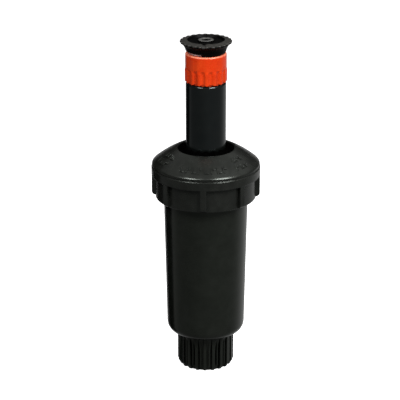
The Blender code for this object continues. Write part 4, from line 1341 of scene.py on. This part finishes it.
# ------------------------------------------------------------------------------------------ studio
@dataclass
class Studio:
    """A plain white floor, soft light from all round, a dark card that shapes reflections, and the camera."""

    distance: float = 880.0
    elevation: float = 20.4
    aim_height: float = 84.7
    aim_side: float = -2.78
    lens: float = 164.7

    def build(self) -> None:
        """Set the floor, the light and the camera."""
        self.add_floor()
        self.add_world()
        self.add_card("left_card", [(-300, 90, -250), (-175, 275, -250), (-175, 275, 300), (-300, 90, 300)])
        self.add_lamp("left_lamp", (-260.0, -330.0, 520.0), 200.0, 2.4)
        self.add_lamp("right_lamp", (300.0, -330.0, 520.0), 260.0, 5.2)
        self.add_camera()
        bpy.context.scene.view_settings.view_transform = "Standard"

    def sheet(self, name: str, corners: Sequence[tuple[float, float, float]]) -> Piece:
        """Make one flat stage sheet from its corners in millimetres."""
        bm = bmesh.new()
        bm.faces.new([bm.verts.new(Vector(c) * MM) for c in corners])
        mesh = bpy.data.meshes.new(name)
        bm.to_mesh(mesh)
        bm.free()
        obj = link(name, mesh)
        return obj

    def add_floor(self) -> None:
        """Lay the pale floor, which glows a little so that it stays white to its edge."""
        far = 4000.0
        floor = self.sheet("floor", [(-far, -far, 0), (far, -far, 0), (far, far, 0), (-far, far, 0)])
        shader = Shader("floor_matt_white")
        colour = shader.blend(shader.noise(120.0, 3.0), 0.3, 0.7, "#ffffff", "#fefefe")
        shader.set(Base_Color=colour, Roughness=0.9, Specular_IOR_Level=0.1)
        shader.set(Emission_Color=linear("#ffffff"), Emission_Strength=0.7)
        floor.data.materials.append(shader.material)
        floor.visible_glossy = False
        floor.visible_diffuse = False

    def add_card(self, name: str, corners: Sequence[tuple[float, float, float]]) -> None:
        """Stand a black card that only reflections see."""
        card = self.sheet(name, corners)
        shader = Shader(f"{name}_black")
        shader.set(Base_Color=(0.0, 0.0, 0.0, 1.0), Roughness=1.0, Specular_IOR_Level=0.0)
        card.data.materials.append(shader.material)
        card.visible_camera = False
        card.visible_diffuse = False
        card.visible_shadow = False

    def add_world(self) -> None:
        """Surround the scene with soft light: pale overhead and below, dark at eye level."""
        world = bpy.data.worlds.new("soft_studio")
        bpy.context.scene.world = world
        world.use_nodes = True
        sky = Wiring(world.node_tree)
        across, ahead, up = sky.add("SeparateXYZ", {0: sky.add("TexCoord").outputs["Generated"]}).outputs
        below = sky.out("MapRange", ahead, -0.2, 0.85, 0.19, 0.5, **SMOOTH)
        sides = sky.out("MapRange", across, -0.6, 0.5, 0.66, 1.0, **SMOOTH)
        overhead = sky.out("MapRange", up, 0.36, 0.68, 0.01, 0.4, **SMOOTH)
        right = sky.out("MapRange", across, 0.2, 0.8, 0.0, 0.08, **SMOOTH)
        above = sky.out("Math:ADD", overhead, right)
        lifted = sky.out("MapRange", up, -0.05, 0.08, 0.0, 1.0, **SMOOTH)
        low_part = sky.out("Math:MULTIPLY", below, sky.out("Math:SUBTRACT", 1.0, lifted))
        both = sky.out("Math:ADD", low_part, sky.out("Math:MULTIPLY", above, lifted))
        total = sky.out("Math:MULTIPLY", both, sides)
        background = sky.tree.nodes["Background"]
        background.inputs["Color"].default_value = (1.0, 1.0, 1.0, 1.0)
        sky.tree.links.new(total, background.inputs["Strength"])

    def add_lamp(self, name: str, spot: tuple[float, float, float], size: float, power: float) -> None:
        """Hang a soft square lamp that looks at the head."""
        light = bpy.data.lights.new(name, "AREA")
        light.size = size * MM
        light.energy = power
        lamp = bpy.data.objects.new(name, light)
        bpy.context.scene.collection.objects.link(lamp)
        lamp.location = Vector(spot) * MM
        aim = Vector((0.0, 0.0, self.aim_height * MM)) - lamp.location
        lamp.rotation_euler = aim.to_track_quat("-Z", "Y").to_euler()

    def add_camera(self) -> None:
        """Place the camera a little above the head, looking slightly down."""
        data = bpy.data.cameras.new("studio_camera")
        data.lens = self.lens
        data.sensor_width = 36.0
        data.clip_start = 0.01
        camera = bpy.data.objects.new("studio_camera", data)
        bpy.context.scene.collection.objects.link(camera)
        tilt = math.radians(self.elevation)
        aim = Vector((self.aim_side * MM, 0.0, self.aim_height * MM))
        back = Vector((0.0, -math.cos(tilt), math.sin(tilt)))
        camera.location = aim + back * (self.distance * MM)
        camera.rotation_euler = (-back).to_track_quat("-Z", "Y").to_euler()
        bpy.context.scene.camera = camera


def main() -> None:
    """Build every sub-assembly in order, then the studio."""
    shop = Workshop()
    for part in (Case(shop), Cap(shop), SealSeat(shop), Riser(shop), Nozzle(shop)):
        log.info("building %s", type(part).__name__)
        part.build()
    Studio().build()


if __name__ == "__main__":
    main()
